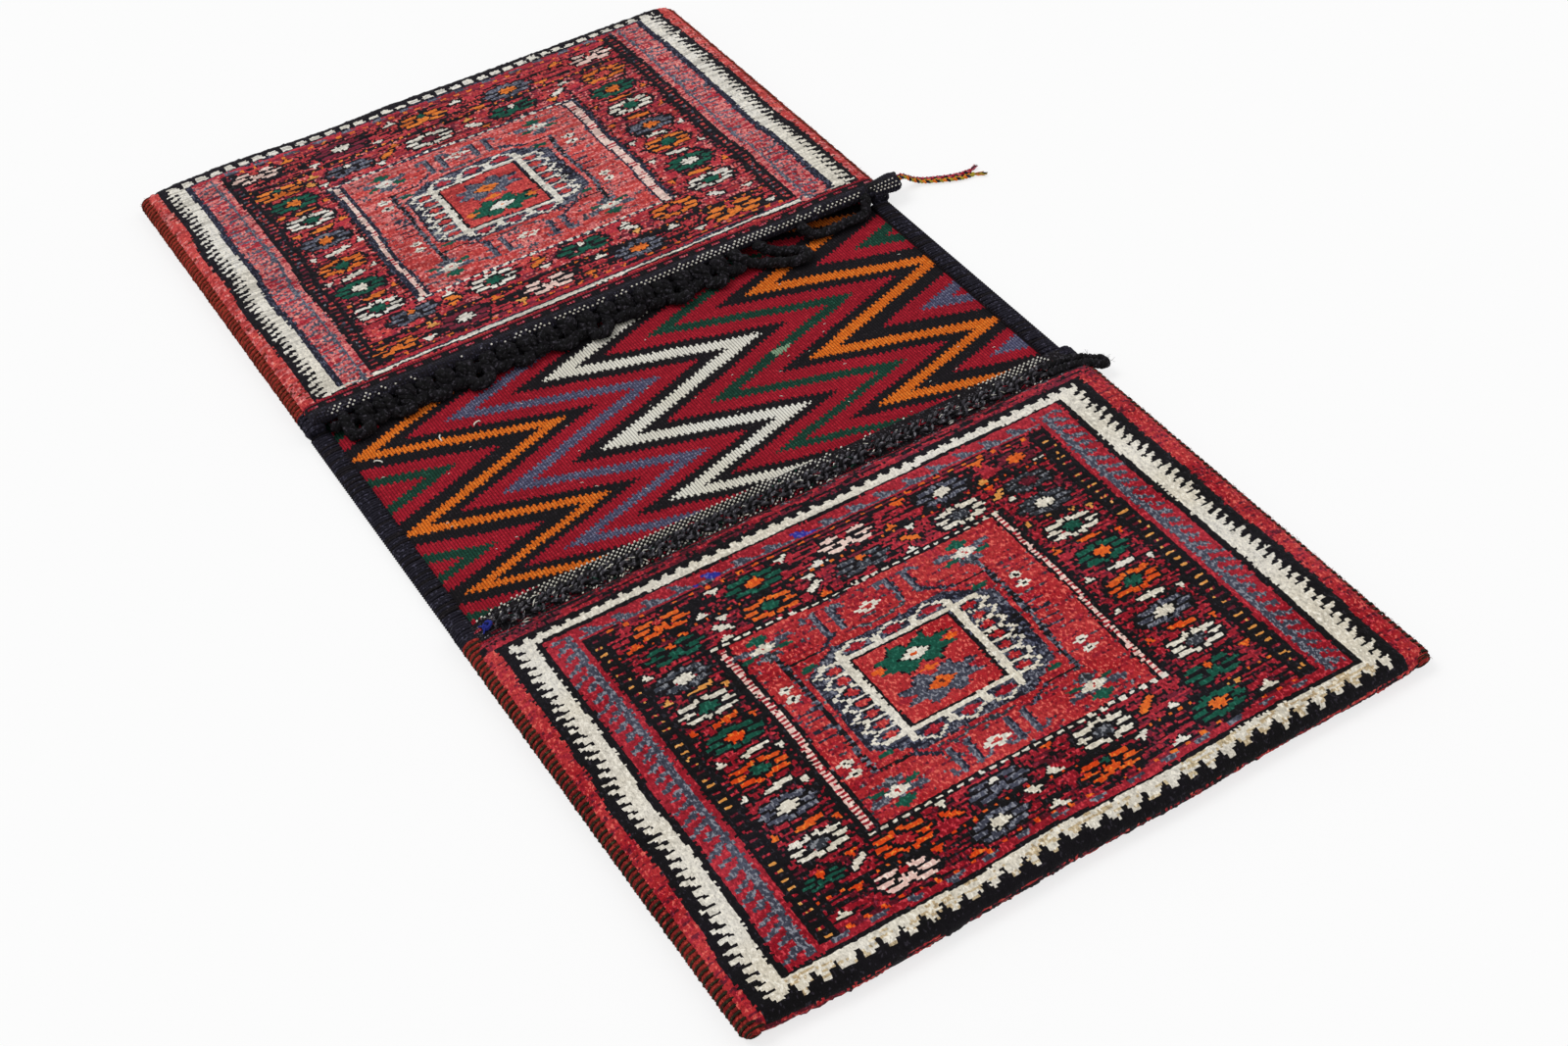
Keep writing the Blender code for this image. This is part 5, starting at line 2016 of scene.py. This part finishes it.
@dataclass(frozen=True)
class HairCord:
    """A cord of goat hair: strands twisted together, with hairs that stand off it."""

    strands: int
    strand_radius: float
    offset: float
    lay: float
    hairs: int
    crinkle: float = 0.0

    def add_to(self, bundle: StrandBundle, path: Array, rng: Generator) -> None:
        """Lay the cord along a path.

        Args:
            bundle: The strands to add to.
            path: The middle of the cord.
            rng: The seeded source of numbers.
        """
        reach = lengths_along(path)
        for k in range(self.strands):
            route = plied(path, k / self.strands, self.offset, self.lay)
            wave = self.crinkle * np.sin(reach / CRINKLE_STEP + rng.uniform(0, 6))
            wave = wave * rng.uniform(0.4, 1.2, len(path))
            thick = self.strand_radius * rng.uniform(0.88, 1.1, len(path)) + wave
            thick[[0, -1]] *= 0.7
            bundle.add(route, thick, 7, 0 if k % 3 else 1)
        for _ in range(self.hairs):
            start = path[rng.integers(1, len(path) - 1)]
            away = rng.normal(0, 1, 3)
            away[2] = abs(away[2])
            away /= np.linalg.norm(away)
            root = start + away * (self.offset + self.strand_radius * 0.6)
            tip = root + (away + rng.normal(0, 0.8, 3)) * rng.uniform(0.0015, 0.0042)
            tip[2] = max(tip[2], root[2] - 0.0006)
            middle = (root + tip) / 2 + rng.normal(0, 0.0004, 3)
            bundle.add(np.array([root, middle, tip]), [0.00016, 0.00013, 0.0001], 3, 1)


@dataclass(frozen=True)
class Lacing:
    """The goat-hair loops laced through one another along the near lip."""

    cord: HairCord = HairCord(2, 0.00135, 0.00095, 0.0088, 16, 0.0003)
    end_cord: HairCord = HairCord(3, 0.0023, 0.0021, 0.015, 60, 0.0003)
    loose_hairs: int = 760
    radius: float = 0.0018
    pitch: float = 0.0178
    slack: float = 0.0006
    from_edge: float = 0.0205
    margin: float = 0.014
    count: int = 30
    end_length: float = 0.064
    end_width: float = 0.017

    def loop(self, start_x: float, length: float, width: float, turn_y: float) -> Array:
        """The route of one loop, up through the one before and down to a round bight.

        Args:
            start_x: Where it leaves the lip.
            length: How far the middle of its bight lies from there.
            width: Half the width of its bight.
            turn_y: How far the bight is drawn towards the pocket's end.

        Returns:
            The points of its route.
        """
        spacing = 2 * self.radius + GAP
        leg = spacing / 2
        bight = leg + spacing + self.slack
        y = PLAN.near_mouth - self.from_edge
        base, low = PLAN.lip_top + GAP, PLAN.lip_top + GAP + self.radius
        high = low + spacing
        over = bight - spacing * 0.6
        past = bight + spacing * 0.55
        up = [(0.0, leg, base), (0.0, leg, base + spacing * 0.55)]
        up += [(over, leg, high), (past, leg + self.slack, high)]
        angles = np.radians((0, 45, 90, 135, 180))
        turn = [(length + width * math.sin(a), width * math.cos(a) - turn_y, low) for a in angles]
        down = [(x, -v, z) for x, v, z in reversed(up)]
        return rounded_path([(start_x + x, y + v, z) for x, v, z in (*up, *turn, *down)], 4)

    def end_route(self, start: float) -> list[Point]:
        """The route of the thick loop that hangs over the corner.

        Args:
            start: Where along the lip it begins.

        Returns:
            The points of its route.
        """
        spots = (
            (0.0, -0.1530, 0.0235), (0.022, -0.1545, 0.0235), (0.038, -0.1565, 0.0205), (0.050, -0.159, 0.015)
        )
        half = self.end_width * 0.27
        there = [(start + x, y + half, z) for x, y, z in spots]
        back = [(start + x, y - half, z) for x, y, z in reversed(spots)]
        tip = start + self.end_length - 0.0044
        turn = [(tip - 0.0012, -0.1605 + half * 0.8, 0.0125), (tip, -0.1610, 0.012)]
        return [*there, *turn, (tip - 0.0012, -0.1615 - half * 0.8, 0.0125), *back]

    def fuzz(self, chain: StrandBundle, rng: Generator) -> None:
        """Scatter loose hairs and bits of coloured yarn over the lacing.

        Args:
            chain: The strands to add to.
            rng: The seeded source of numbers.
        """
        for _ in range(self.loose_hairs):
            x, y = rng.uniform(-0.279, 0.279), -0.1495 + 0.0062 * rng.normal()
            y = float(np.clip(y, -0.1615, -0.1395))
            height = 0.0245 - 0.5 * abs(y + 0.1495) + rng.uniform(-0.0006, 0.0006)
            reach = np.array([rng.choice((-1, 1)) * rng.uniform(0.0015, 0.0046), rng.normal(0, 0.0016), 0.0])
            drop = np.array([0.0, 0.0, 0.0008])
            bend = np.array([rng.normal(0, 0.0005), rng.normal(0, 0.0009), 0.0003])
            spot = np.array([x, y, height])
            pick = int(rng.choice(5, p=(0.34, 0.3, 0.16, 0.16, 0.04)))
            thick = rng.uniform(0.00028, 0.00062) if pick else 0.0003
            path = np.array([spot - reach - drop, spot + bend, spot + reach - drop])
            chain.add(path, [thick * 0.5, thick, thick * 0.4], 4, pick)

    def build(self) -> list[Piece]:
        """Build the chain of loops and the long loop that ends it.

        Returns:
            The chain and the end loop.
        """
        rng = np.random.default_rng(81)
        materials = DRESSER.cords(GOAT_HAIR, SLATE, CREAM, CRIMSON, GREEN)
        bight = (2 * self.radius + GAP) * 1.5 + self.slack
        first = -PLAN.half_weave + self.margin
        chain = StrandBundle()
        for k in range(self.count):
            self.cord.add_to(chain, self.loop(first + k * self.pitch, self.pitch, bight, 0.0), rng)
        self.fuzz(chain, rng)
        nodes = [f"near_lace_{k + 1:02d}" for k in range(self.count)]
        laced = chain.build("near_lacing", materials, "goat_hair", *nodes)
        end = StrandBundle()
        self.end_cord.add_to(end, rounded_path(self.end_route(first + self.count * self.pitch), 5), rng)
        hairs = DRESSER.cords(GOAT_HAIR, GREY_HAIR)
        return [laced, end.build("near_lacing_end", hairs, "goat_hair", "near_lace_end_loop")]


@dataclass(frozen=True)
class ClosingLoops:
    """The black goat-hair loops that hang from the far hem onto the bridge."""

    cord: HairCord = HairCord(3, 0.0031, 0.0028, 0.0165, 56, 0.0007)
    radius: float = 0.0055
    spread: float = 0.0080
    reach: float = 0.0230
    tip: float = 0.0068
    pitch: float = 0.0405
    count: int = 10
    first_x: float = -0.263
    sway: float = 0.0022
    stub: float = 0.0055
    along_length: float = 0.071
    along_margin: float = 0.011

    @property
    def hang_z(self) -> float:
        """The height at which a loop leaves the hem."""
        return PLAN.hem_centre_z - 0.0025

    @property
    def rest_z(self) -> float:
        """The height of the middle of a loop that lies on the bridge."""
        return PLAN.back_thickness + GAP + self.radius

    def hanging(self, x: float, sway: float, size: float = 1.0) -> list[Point]:
        """The route of one loop of the row.

        Args:
            x: Where along the hem it hangs.
            sway: How far its tip swings to the side.
            size: Its size, as a share of the usual one.

        Returns:
            The points of its route.
        """
        spread, reach, tip = self.spread * size**0.5, self.reach * size, self.tip * size
        shoulder = -reach + tip
        points = [(-spread, 0.002, self.hang_z), (-spread, -self.stub, self.hang_z)]
        points.append((-spread - 0.0006 + sway * 0.5, shoulder, self.rest_z))
        for turn in (35, 65, 90, 115, 145):
            angle = math.radians(turn)
            y = -reach + tip * (1 - math.sin(angle))
            points.append((sway - spread * math.cos(angle), y, self.rest_z))
        points.append((spread + 0.0006 + sway * 0.5, shoulder, self.rest_z))
        points += [(spread, -self.stub, self.hang_z), (spread, 0.002, self.hang_z)]
        return [(x + u, PLAN.far_mouth + v, z) for u, v, z in points]

    def slanting(self) -> list[Point]:
        """The route of the long loop that slants to the right."""
        hang, rest = self.hang_z, self.rest_z
        points = (
            (0.1310, 0.002, hang),
            (0.1310, -self.stub, hang),
            (0.1450, -0.0165, rest),
            (0.1620, -0.0262, rest),
            (0.1780, -0.0345, rest),
            (0.1885, -0.0355, rest),
            (0.1930, -0.0280, rest),
            (0.1800, -0.0170, rest),
            (0.1650, -0.0110, rest + 0.0025),
            (0.1560, -self.stub, hang),
            (0.1560, 0.002, hang),
        )
        return [(x, PLAN.far_mouth + v, z) for x, v, z in points]

    def along_mouth(self) -> list[Point]:
        """The route of the loop that lies along the hem."""
        end = PLAN.half_weave - self.along_margin
        start = end - self.along_length
        hang, rest = self.hang_z, self.rest_z
        points = (
            (start, 0.002, hang),
            (start, -self.stub, hang),
            (start + 0.009, -0.0125, rest),
            ((start + end) / 2, -0.013, rest),
            (end - 0.009, -0.0125, rest),
            (end, -self.stub, hang),
            (end, 0.002, hang),
        )
        return [(x, PLAN.far_mouth + v, z) for x, v, z in points]

    def build(self) -> list[Piece]:
        """Build every loop as its own piece.

        Returns:
            The loops.
        """
        materials = DRESSER.cords(GOAT_HAIR, GREY_HAIR)
        routes = {}
        for k in range(self.count):
            x = self.first_x + k * self.pitch
            size = 0.86 + 0.2 * math.sin(2.3 * k + 1.0)
            half = 0.5 * self.pitch
            between = self.hanging(x + half, 0.003 * math.cos(2.1 * k), 0.58 + 0.08 * math.sin(3.1 * k))
            low = [(x + u, PLAN.far_mouth - 0.0035, self.rest_z + 0.0022) for u in (-half, 0.0, half)]
            loop = self.hanging(x, 2 * self.sway * math.sin(1.7 * k), size)
            routes[f"far_loop_{k + 1:02d}"] = [loop, between, low]
        routes["far_loop_slanting"] = [self.slanting()]
        routes["far_loop_along_mouth"] = [self.along_mouth()]
        items = []
        for k, (name, cords) in enumerate(routes.items()):
            rng = np.random.default_rng(90 + k)
            bundle = StrandBundle()
            for route in cords:
                path = rounded_path(route, 5)
                path += 0.0011 * np.stack([smooth_noise(rng, 1, len(path), 6)[0] for _ in range(3)], axis=1)
                path[:, 2] = np.maximum(path[:, 2], self.rest_z)
                self.cord.add_to(bundle, path, rng)
            items.append(bundle.build(name + "_twisted", materials, "goat_hair", name))
        return items


@dataclass(frozen=True)
class HemEnd:
    """The wrapped end of the far hem that stands out past the corner."""

    start_x: float = 0.2850
    length: float = 0.0375
    half_depth: float = 0.0122
    half_height: float = 0.0082
    sweep: float = 0.0035
    drop: float = 0.003
    wraps: float = 12.0

    def girth(self, share: float) -> float:
        """How thick the end is at a share of its length: it swells from the hem and narrows again."""
        return float(np.interp(share, (0.0, 0.4, 0.8, 1.0), (0.58, 0.8, 1.0, 0.9)))

    def around(self, angle: float) -> Array:
        """From the middle of the roll to its skin, at an angle."""
        return np.array([0.0, self.half_depth * math.cos(angle), self.half_height * math.sin(angle)])

    def centre(self, share: float) -> Array:
        """The middle of the roll at a share of its length."""
        turn = min(1.0, max(0.0, (share - 0.2) / 0.6))
        y = PLAN.hem_centre_y + self.sweep * turn
        return np.array([self.start_x + self.length * share, y, PLAN.hem_centre_z - self.drop * turn])

    def build(self) -> Piece:
        """Build the core, the wrapping and the cut ends.

        Returns:
            The hem end.
        """
        rng = np.random.default_rng(95)
        bundle = StrandBundle()
        for k in range(15):
            angle = 2 * math.pi * k / 9 + 0.3
            ring = 0.62 if k < 9 else 0.22
            offset = ring * self.around(angle)
            stop = rng.uniform(0.93, 1.0)
            path = np.array([self.centre(stop * t) + offset * self.girth(t) for t in np.linspace(0, 1, 8)])
            bundle.add(path, 0.0034, 7, 0 if k % 4 else 1)
        wrap = []
        for t in np.linspace(0.03, 0.92, 260):
            angle = 2 * math.pi * self.wraps * t
            across = (self.half_depth - 0.0015) * self.girth(t) * math.cos(angle)
            lift = (self.half_height - 0.0013) * self.girth(t) * math.sin(angle)
            wrap.append(self.centre(t) + [0.0, across, lift])
        bundle.add(np.array(wrap), 0.00165, 6, 1)
        for k in range(21):
            t = 0.08 + 0.8 * (k // 3) / 7 + 0.02 * (k % 3)
            angle = math.radians((112, 134, 156)[k % 3])
            away = self.around(angle) * self.girth(t)
            spot = self.centre(t) + away * 1.06 + np.array([0.0011 * (k % 3), 0, 0])
            half = np.array([0.0004, 0.0001, 0.0001])
            ends = [spot - half * 1.6 - away * 0.08, spot + half * 1.6 - away * 0.08]
            path = np.array([ends[0], spot - half * 0.4, spot + half * 0.4, ends[1]])
            bundle.add(path, [0.0005, 0.0008, 0.0008, 0.0005], 5, 2)
        materials = DRESSER.cords(GOAT_HAIR, NIGHT, CREAM)
        return bundle.build("far_hem_end_wrapped", materials, "goat_hair", "far_hem_end")


@dataclass(frozen=True)
class CornerTie:
    """The free tie at the far hem's end: two thin plaits that part and end in frayed knots."""

    exit_x: float = 0.3241
    exit_y: float = 0.176
    exit_z: float = 0.0145
    radius: float = 0.0032
    strand: float = 0.0015

    def route(self) -> Array:
        """The middle of the tie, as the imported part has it."""
        floor = self.radius + GAP
        x, y = self.exit_x, self.exit_y
        points = (
            (x, y, self.exit_z),
            (x + 0.0080, y, self.exit_z),
            (x + 0.0190, y - 0.0010, floor + 0.0035),
            (x + 0.0290, y - 0.0045, floor + 0.0003),
            (x + 0.0400, y - 0.0100, floor),
            (x + 0.0520, y - 0.0155, floor),
            (x + 0.0640, y - 0.0195, floor),
            (x + 0.0745, y - 0.0205, floor),
        )
        return rounded_path(points, 6)

    def build(self) -> list[Piece]:
        """Returns:
            The plaits and the frayed ends.
        """
        rng = np.random.default_rng(97)
        route = self.route()
        share = lengths_along(route) / lengths_along(route)[-1]
        side = np.cross(np.gradient(route, axis=0), [0.0, 0.0, 1.0])
        side /= np.linalg.norm(side, axis=1)[:, None]
        materials = DRESSER.cords(MADDER, ROSE, NIGHT, OLIVE, ORANGE)
        plaits, frays = StrandBundle(), StrandBundle()
        picks = ((0, 1, 2), (4, 3, 2))
        for branch, way in enumerate((-1, 1)):
            away = (0.0012 + 0.0021 * share**1.4) * way
            middle = route + side * away[:, None]
            middle[:, 2] -= 0.0012 * share
            for k in range(3):
                path = plaited(middle, k, 0.0013, 0.0102)
                plaits.add(path, self.strand * rng.uniform(0.92, 1.08, len(path)), 6, picks[branch][k])
            end, ahead = middle[-1], middle[-1] - middle[-3]
            ahead /= np.linalg.norm(ahead)
            knot = [end + ahead * t for t in (-0.0012, 0.0, 0.0014, 0.0026)]
            frays.add(np.array(knot), [0.0014, 0.0023, 0.0022, 0.0013], 8, picks[branch][branch])
            for _ in range(34):
                spread = np.array([rng.normal(0, 0.16), rng.normal(-0.5 * way, 0.16), rng.normal(0.04, 0.08)])
                start = end + ahead * 0.002
                tip = start + (ahead + spread) * rng.uniform(0.006, 0.0105)
                tip[2] = float(np.clip(tip[2], 0.0006, 0.006))
                bend = (start + tip) / 2 + rng.normal(0, 0.0004, 3)
                bend[2] = max(bend[2], 0.0009)
                pick = int(rng.choice(picks[branch]))
                frays.add(np.array([start, bend, tip]), [0.0009, 0.0007, 0.0002], 5, pick)
        tie = plaits.build("corner_tie_plaits", materials, "plaited_wool", "corner_tie")
        ends = frays.build("corner_tie_frays", materials, "plaited_wool")
        return [tie, ends]


@dataclass(frozen=True)
class YarnKnot:
    """A small knot of blue yarn by the left end of the lacing."""

    x: float = -0.2806
    length: float = 0.009
    radius: float = 0.0035

    def build(self) -> Piece:
        """Build the turns of the knot and its two short tails.

        Returns:
            The knot.
        """
        bundle = StrandBundle()
        y, z = PLAN.near_mouth - 0.0205, PLAN.lip_top + GAP + self.radius
        for k, (lean, size) in enumerate(((0.5, 1.0), (-0.5, 0.95), (0.0, 0.8))):
            turn = np.linspace(0, 2 * math.pi * 0.96, 20)
            along = np.sin(turn) * self.length * 0.34 * size + (k - 1) * 0.0008
            across = np.cos(turn) * (self.radius - 0.001) * size
            lift = np.sin(turn + lean) * (self.radius - 0.0012) * size
            bundle.add(np.stack([self.x + along, y + across, z + lift], axis=1), 0.00105, 6, 0)
        for way in (-1, 1):
            tail = ((0.001, 0.0, 0.0), (0.004, way * 0.0022, -0.001), (0.0062, way * 0.0048, -0.0024))
            path = rounded_path([(self.x - u, y + v, z + w) for u, v, w in tail], 4)
            bundle.add(path, np.linspace(0.0009, 0.0006, len(path)), 6, 0)
        return bundle.build("near_yarn_knot_tied", DRESSER.cords(ROYAL), "blue_yarn", "near_yarn_knot")


@dataclass(frozen=True)
class RepairThreads:
    """Short curls and darned stitches of white thread on the bridge."""

    curls: tuple[Point, ...] = ((-0.2692, 0.0967, 0.3), (-0.2024, 0.0966, 2.2), (-0.1711, 0.092, 1.2))
    flecks: int = 46

    def build(self) -> Piece:
        """Build the curls and the darned stitches.

        Returns:
            The threads.
        """
        rng = np.random.default_rng(99)
        bundle = StrandBundle()
        top = PLAN.back_thickness + 0.0008
        for x, y, turn in self.curls:
            angles = turn + np.linspace(0, 1.25, 12)
            across, along = x + 0.0062 * np.cos(angles), y + 0.0072 * np.sin(angles)
            path = np.stack([across, along, np.full(12, top + 0.0005)], axis=1)
            path[0, 2] -= 0.001
            path[-1, 2] -= 0.001
            bundle.add(path, 0.0007, 6, 0)
        near_hem = ((-0.1911, 0.0727), (-0.2216, 0.0523), (-0.2707, 0.0809))
        scattered = [(rng.uniform(-0.27, 0.27), rng.uniform(-0.12, 0.12)) for _ in range(self.flecks)]
        for x, y in (*near_hem, *scattered):
            half = rng.uniform(0.0006, 0.0016)
            lean = rng.normal(0, 0.0004)
            ends = [[x - half, y - lean, top - 0.0006], [x + half, y + lean, top - 0.0006]]
            bundle.add(np.array([ends[0], [x, y, top - 0.0001], ends[1]]), [0.00025, 0.00035, 0.00025], 5, 0)
        return bundle.build("bridge_repair_threads", DRESSER.cords(CREAM), "wool_pile")


@dataclass(frozen=True)
class Studio:
    """The camera of the photograph, a pale floor and plain soft light."""

    eye: Point = (-0.6696, -1.358, 1.2856)
    right: Point = (0.84932, -0.52493, -0.05567)
    up: Point = (0.39585, 0.56359, 0.72503)
    back: Point = (-0.34922, -0.63782, 0.68646)
    lens: float = 51.645
    world_light: float = 0.62
    floor_size: float = 14.0
    floor_white: float = 0.72

    def camera(self) -> None:
        """Put the camera where the photograph was taken from."""
        data = bpy.data.cameras.new("studio_camera")
        data.lens = self.lens
        data.sensor_width = 36.0
        data.clip_end = 60.0
        item = placed("studio_camera", data)
        turn = Matrix((self.right, self.up, self.back)).transposed().to_4x4()
        item.matrix_world = Matrix.Translation(Vector(self.eye)) @ turn
        bpy.context.scene.camera = item

    def show_white(self, tree: bpy.types.NodeTree, shader: Socket, kind: str, share: float, end: str) -> None:
        """Blend plain white over a shader where a ray comes straight from the camera, or by gloss or glass.

        Args:
            tree: The nodes to add to.
            shader: What all the other rays meet.
            kind: Blender's own name of the node that shines white.
            share: How much of the white shows.
            end: The name of the node that the blend goes to.
        """
        path = tree.nodes.new("ShaderNodeLightPath")
        seen = path.outputs["Is Camera Ray"]
        steps = [("MAXIMUM", path.outputs["Is Glossy Ray"]), ("MAXIMUM", path.outputs["Is Transmission Ray"])]
        for operation, other in (*steps, ("MULTIPLY", share)):
            node = tree.nodes.new("ShaderNodeMath")
            node.operation = operation
            tree.links.new(seen, node.inputs[0])
            if isinstance(other, float):
                node.inputs[1].default_value = other
            else:
                tree.links.new(other, node.inputs[1])
            seen = node.outputs[0]
        white = tree.nodes.new(kind)
        white.inputs["Color"].default_value = (1.0, 1.0, 1.0, 1.0)
        white.inputs["Strength"].default_value = 1.0
        mix = tree.nodes.new("ShaderNodeMixShader")
        for number, socket in enumerate((seen, shader, white.outputs[0])):
            tree.links.new(socket, mix.inputs[number])
        tree.links.new(mix.outputs[0], tree.nodes[end].inputs["Surface"])

    def world(self) -> None:
        """Light everything evenly from all round, and show white behind the bag."""
        world = bpy.data.worlds.new("studio_world")
        world.use_nodes = True
        bpy.context.scene.world = world
        plain = world.node_tree.nodes["Background"]
        plain.inputs["Color"].default_value = (1.0, 1.0, 1.0, 1.0)
        plain.inputs["Strength"].default_value = self.world_light
        self.show_white(world.node_tree, plain.outputs[0], "ShaderNodeBackground", 1.0, "World Output")

    def floor(self) -> None:
        """Lay a wide pale floor that keeps the bag's soft shadow."""
        half = self.floor_size / 2
        mesh = bpy.data.meshes.new("studio_floor")
        corners = [(x * half, y * half, -0.0004) for x, y in ((-1, -1), (1, -1), (1, 1), (-1, 1))]
        mesh.from_pydata(corners, [], [(0, 1, 2, 3)])
        material = bpy.data.materials.new("studio_floor")
        material.use_nodes = True
        shader = material.node_tree.nodes["Principled BSDF"]
        shader.inputs["Base Color"].default_value = (0.9, 0.9, 0.9, 1.0)
        shader.inputs["Roughness"].default_value = 1.0
        shader.inputs["Specular IOR Level"].default_value = 0.0
        pale = self.floor_white
        self.show_white(material.node_tree, shader.outputs[0], "ShaderNodeEmission", pale, "Material Output")
        mesh.materials.append(material)
        placed("studio_floor", mesh)

    def lamp(self, name: str, strength: float, lean: Point, softness: float) -> None:
        """Hang a soft sun that shines from a direction.

        Args:
            name: The lamp's name.
            strength: How strong it is.
            lean: The direction from the bag to the lamp.
            softness: How wide the lamp looks, in radians.
        """
        data = bpy.data.lights.new(name, "SUN")
        data.energy = strength
        data.angle = softness
        item = placed(name, data)
        item.matrix_world = Vector(lean).to_track_quat("Z", "Y").to_matrix().to_4x4()

    def build(self) -> None:
        """Set up the camera, the floor and the light."""
        bpy.context.scene.view_settings.view_transform = "Standard"
        self.world()
        self.floor()
        self.lamp("studio_key", 1.15, (-0.5, 0.35, 1.0), 0.5)
        self.lamp("studio_fill", 0.35, (0.9, -0.4, 0.9), 0.9)


class SaddleBag:
    """The whole bag: its cloth, its seams and its fastenings."""

    def tie(self) -> list[Piece]:
        """The free tie, which is made first because it is a cord."""
        return CornerTie().build()

    def cloth(self) -> list[Piece]:
        """The pieces of the one woven strip."""
        faces = [
            PileFace("near_pile_face", NEAR_LAYOUT, True, 11).build(),
            PileFace("far_pile_face", FAR_LAYOUT, False, 12).build(),
        ]
        lip, hem = MouthLip(), RolledHem()
        pieces = [
            *faces,
            lip.build(),
            lip.twining(),
            hem.build(),
            hem.twining(),
            Bridge().build(),
            Back().build(),
            PocketLining("near_pocket_lining", True).build(),
            PocketLining("far_pocket_lining", False).build(),
            RepairThreads().build(),
        ]
        for item in pieces:
            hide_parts("woven_body")
        return pieces

    def edges(self) -> list[Piece]:
        """The overcast seams and bindings."""
        pieces = []
        for hand, side in (("left", -1), ("right", 1)):
            pieces.append(SideSeam(f"side_seam_near_{hand}", side, True).build())
            pieces.append(SideSeam(f"side_seam_far_{hand}", side, False).build())
            pieces.append(EdgeBinding(f"bridge_binding_{hand}", side).build())
        return pieces

    def fastenings(self) -> list[Piece]:
        """The lacing, the closing loops, the hem's end and the blue knot."""
        pieces = [*Lacing().build(), *ClosingLoops().build()]
        return [*pieces, HemEnd().build(), YarnKnot().build()]


def report(group: str, pieces: Sequence[Piece]) -> None:
    """Make the pieces ride on the bag and log each of them.

    Args:
        group: What the pieces are.
        pieces: The pieces.
    """
    for item in pieces:
        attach(item, "root")
        log.info("%s: %s, %d faces", group, item.name, len(item.data.polygons))


def main() -> None:
    """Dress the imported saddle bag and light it."""
    logging.basicConfig(level=logging.INFO, format="%(name)s %(message)s")
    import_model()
    studio = Studio()
    studio.camera()
    bag = SaddleBag()
    report("tie", bag.tie())
    cloth = bag.cloth()
    report("cloth", cloth)
    report("edge", bag.edges())
    report("fastening", bag.fastenings())
    studio.build()


if __name__ == "__main__":
    main()
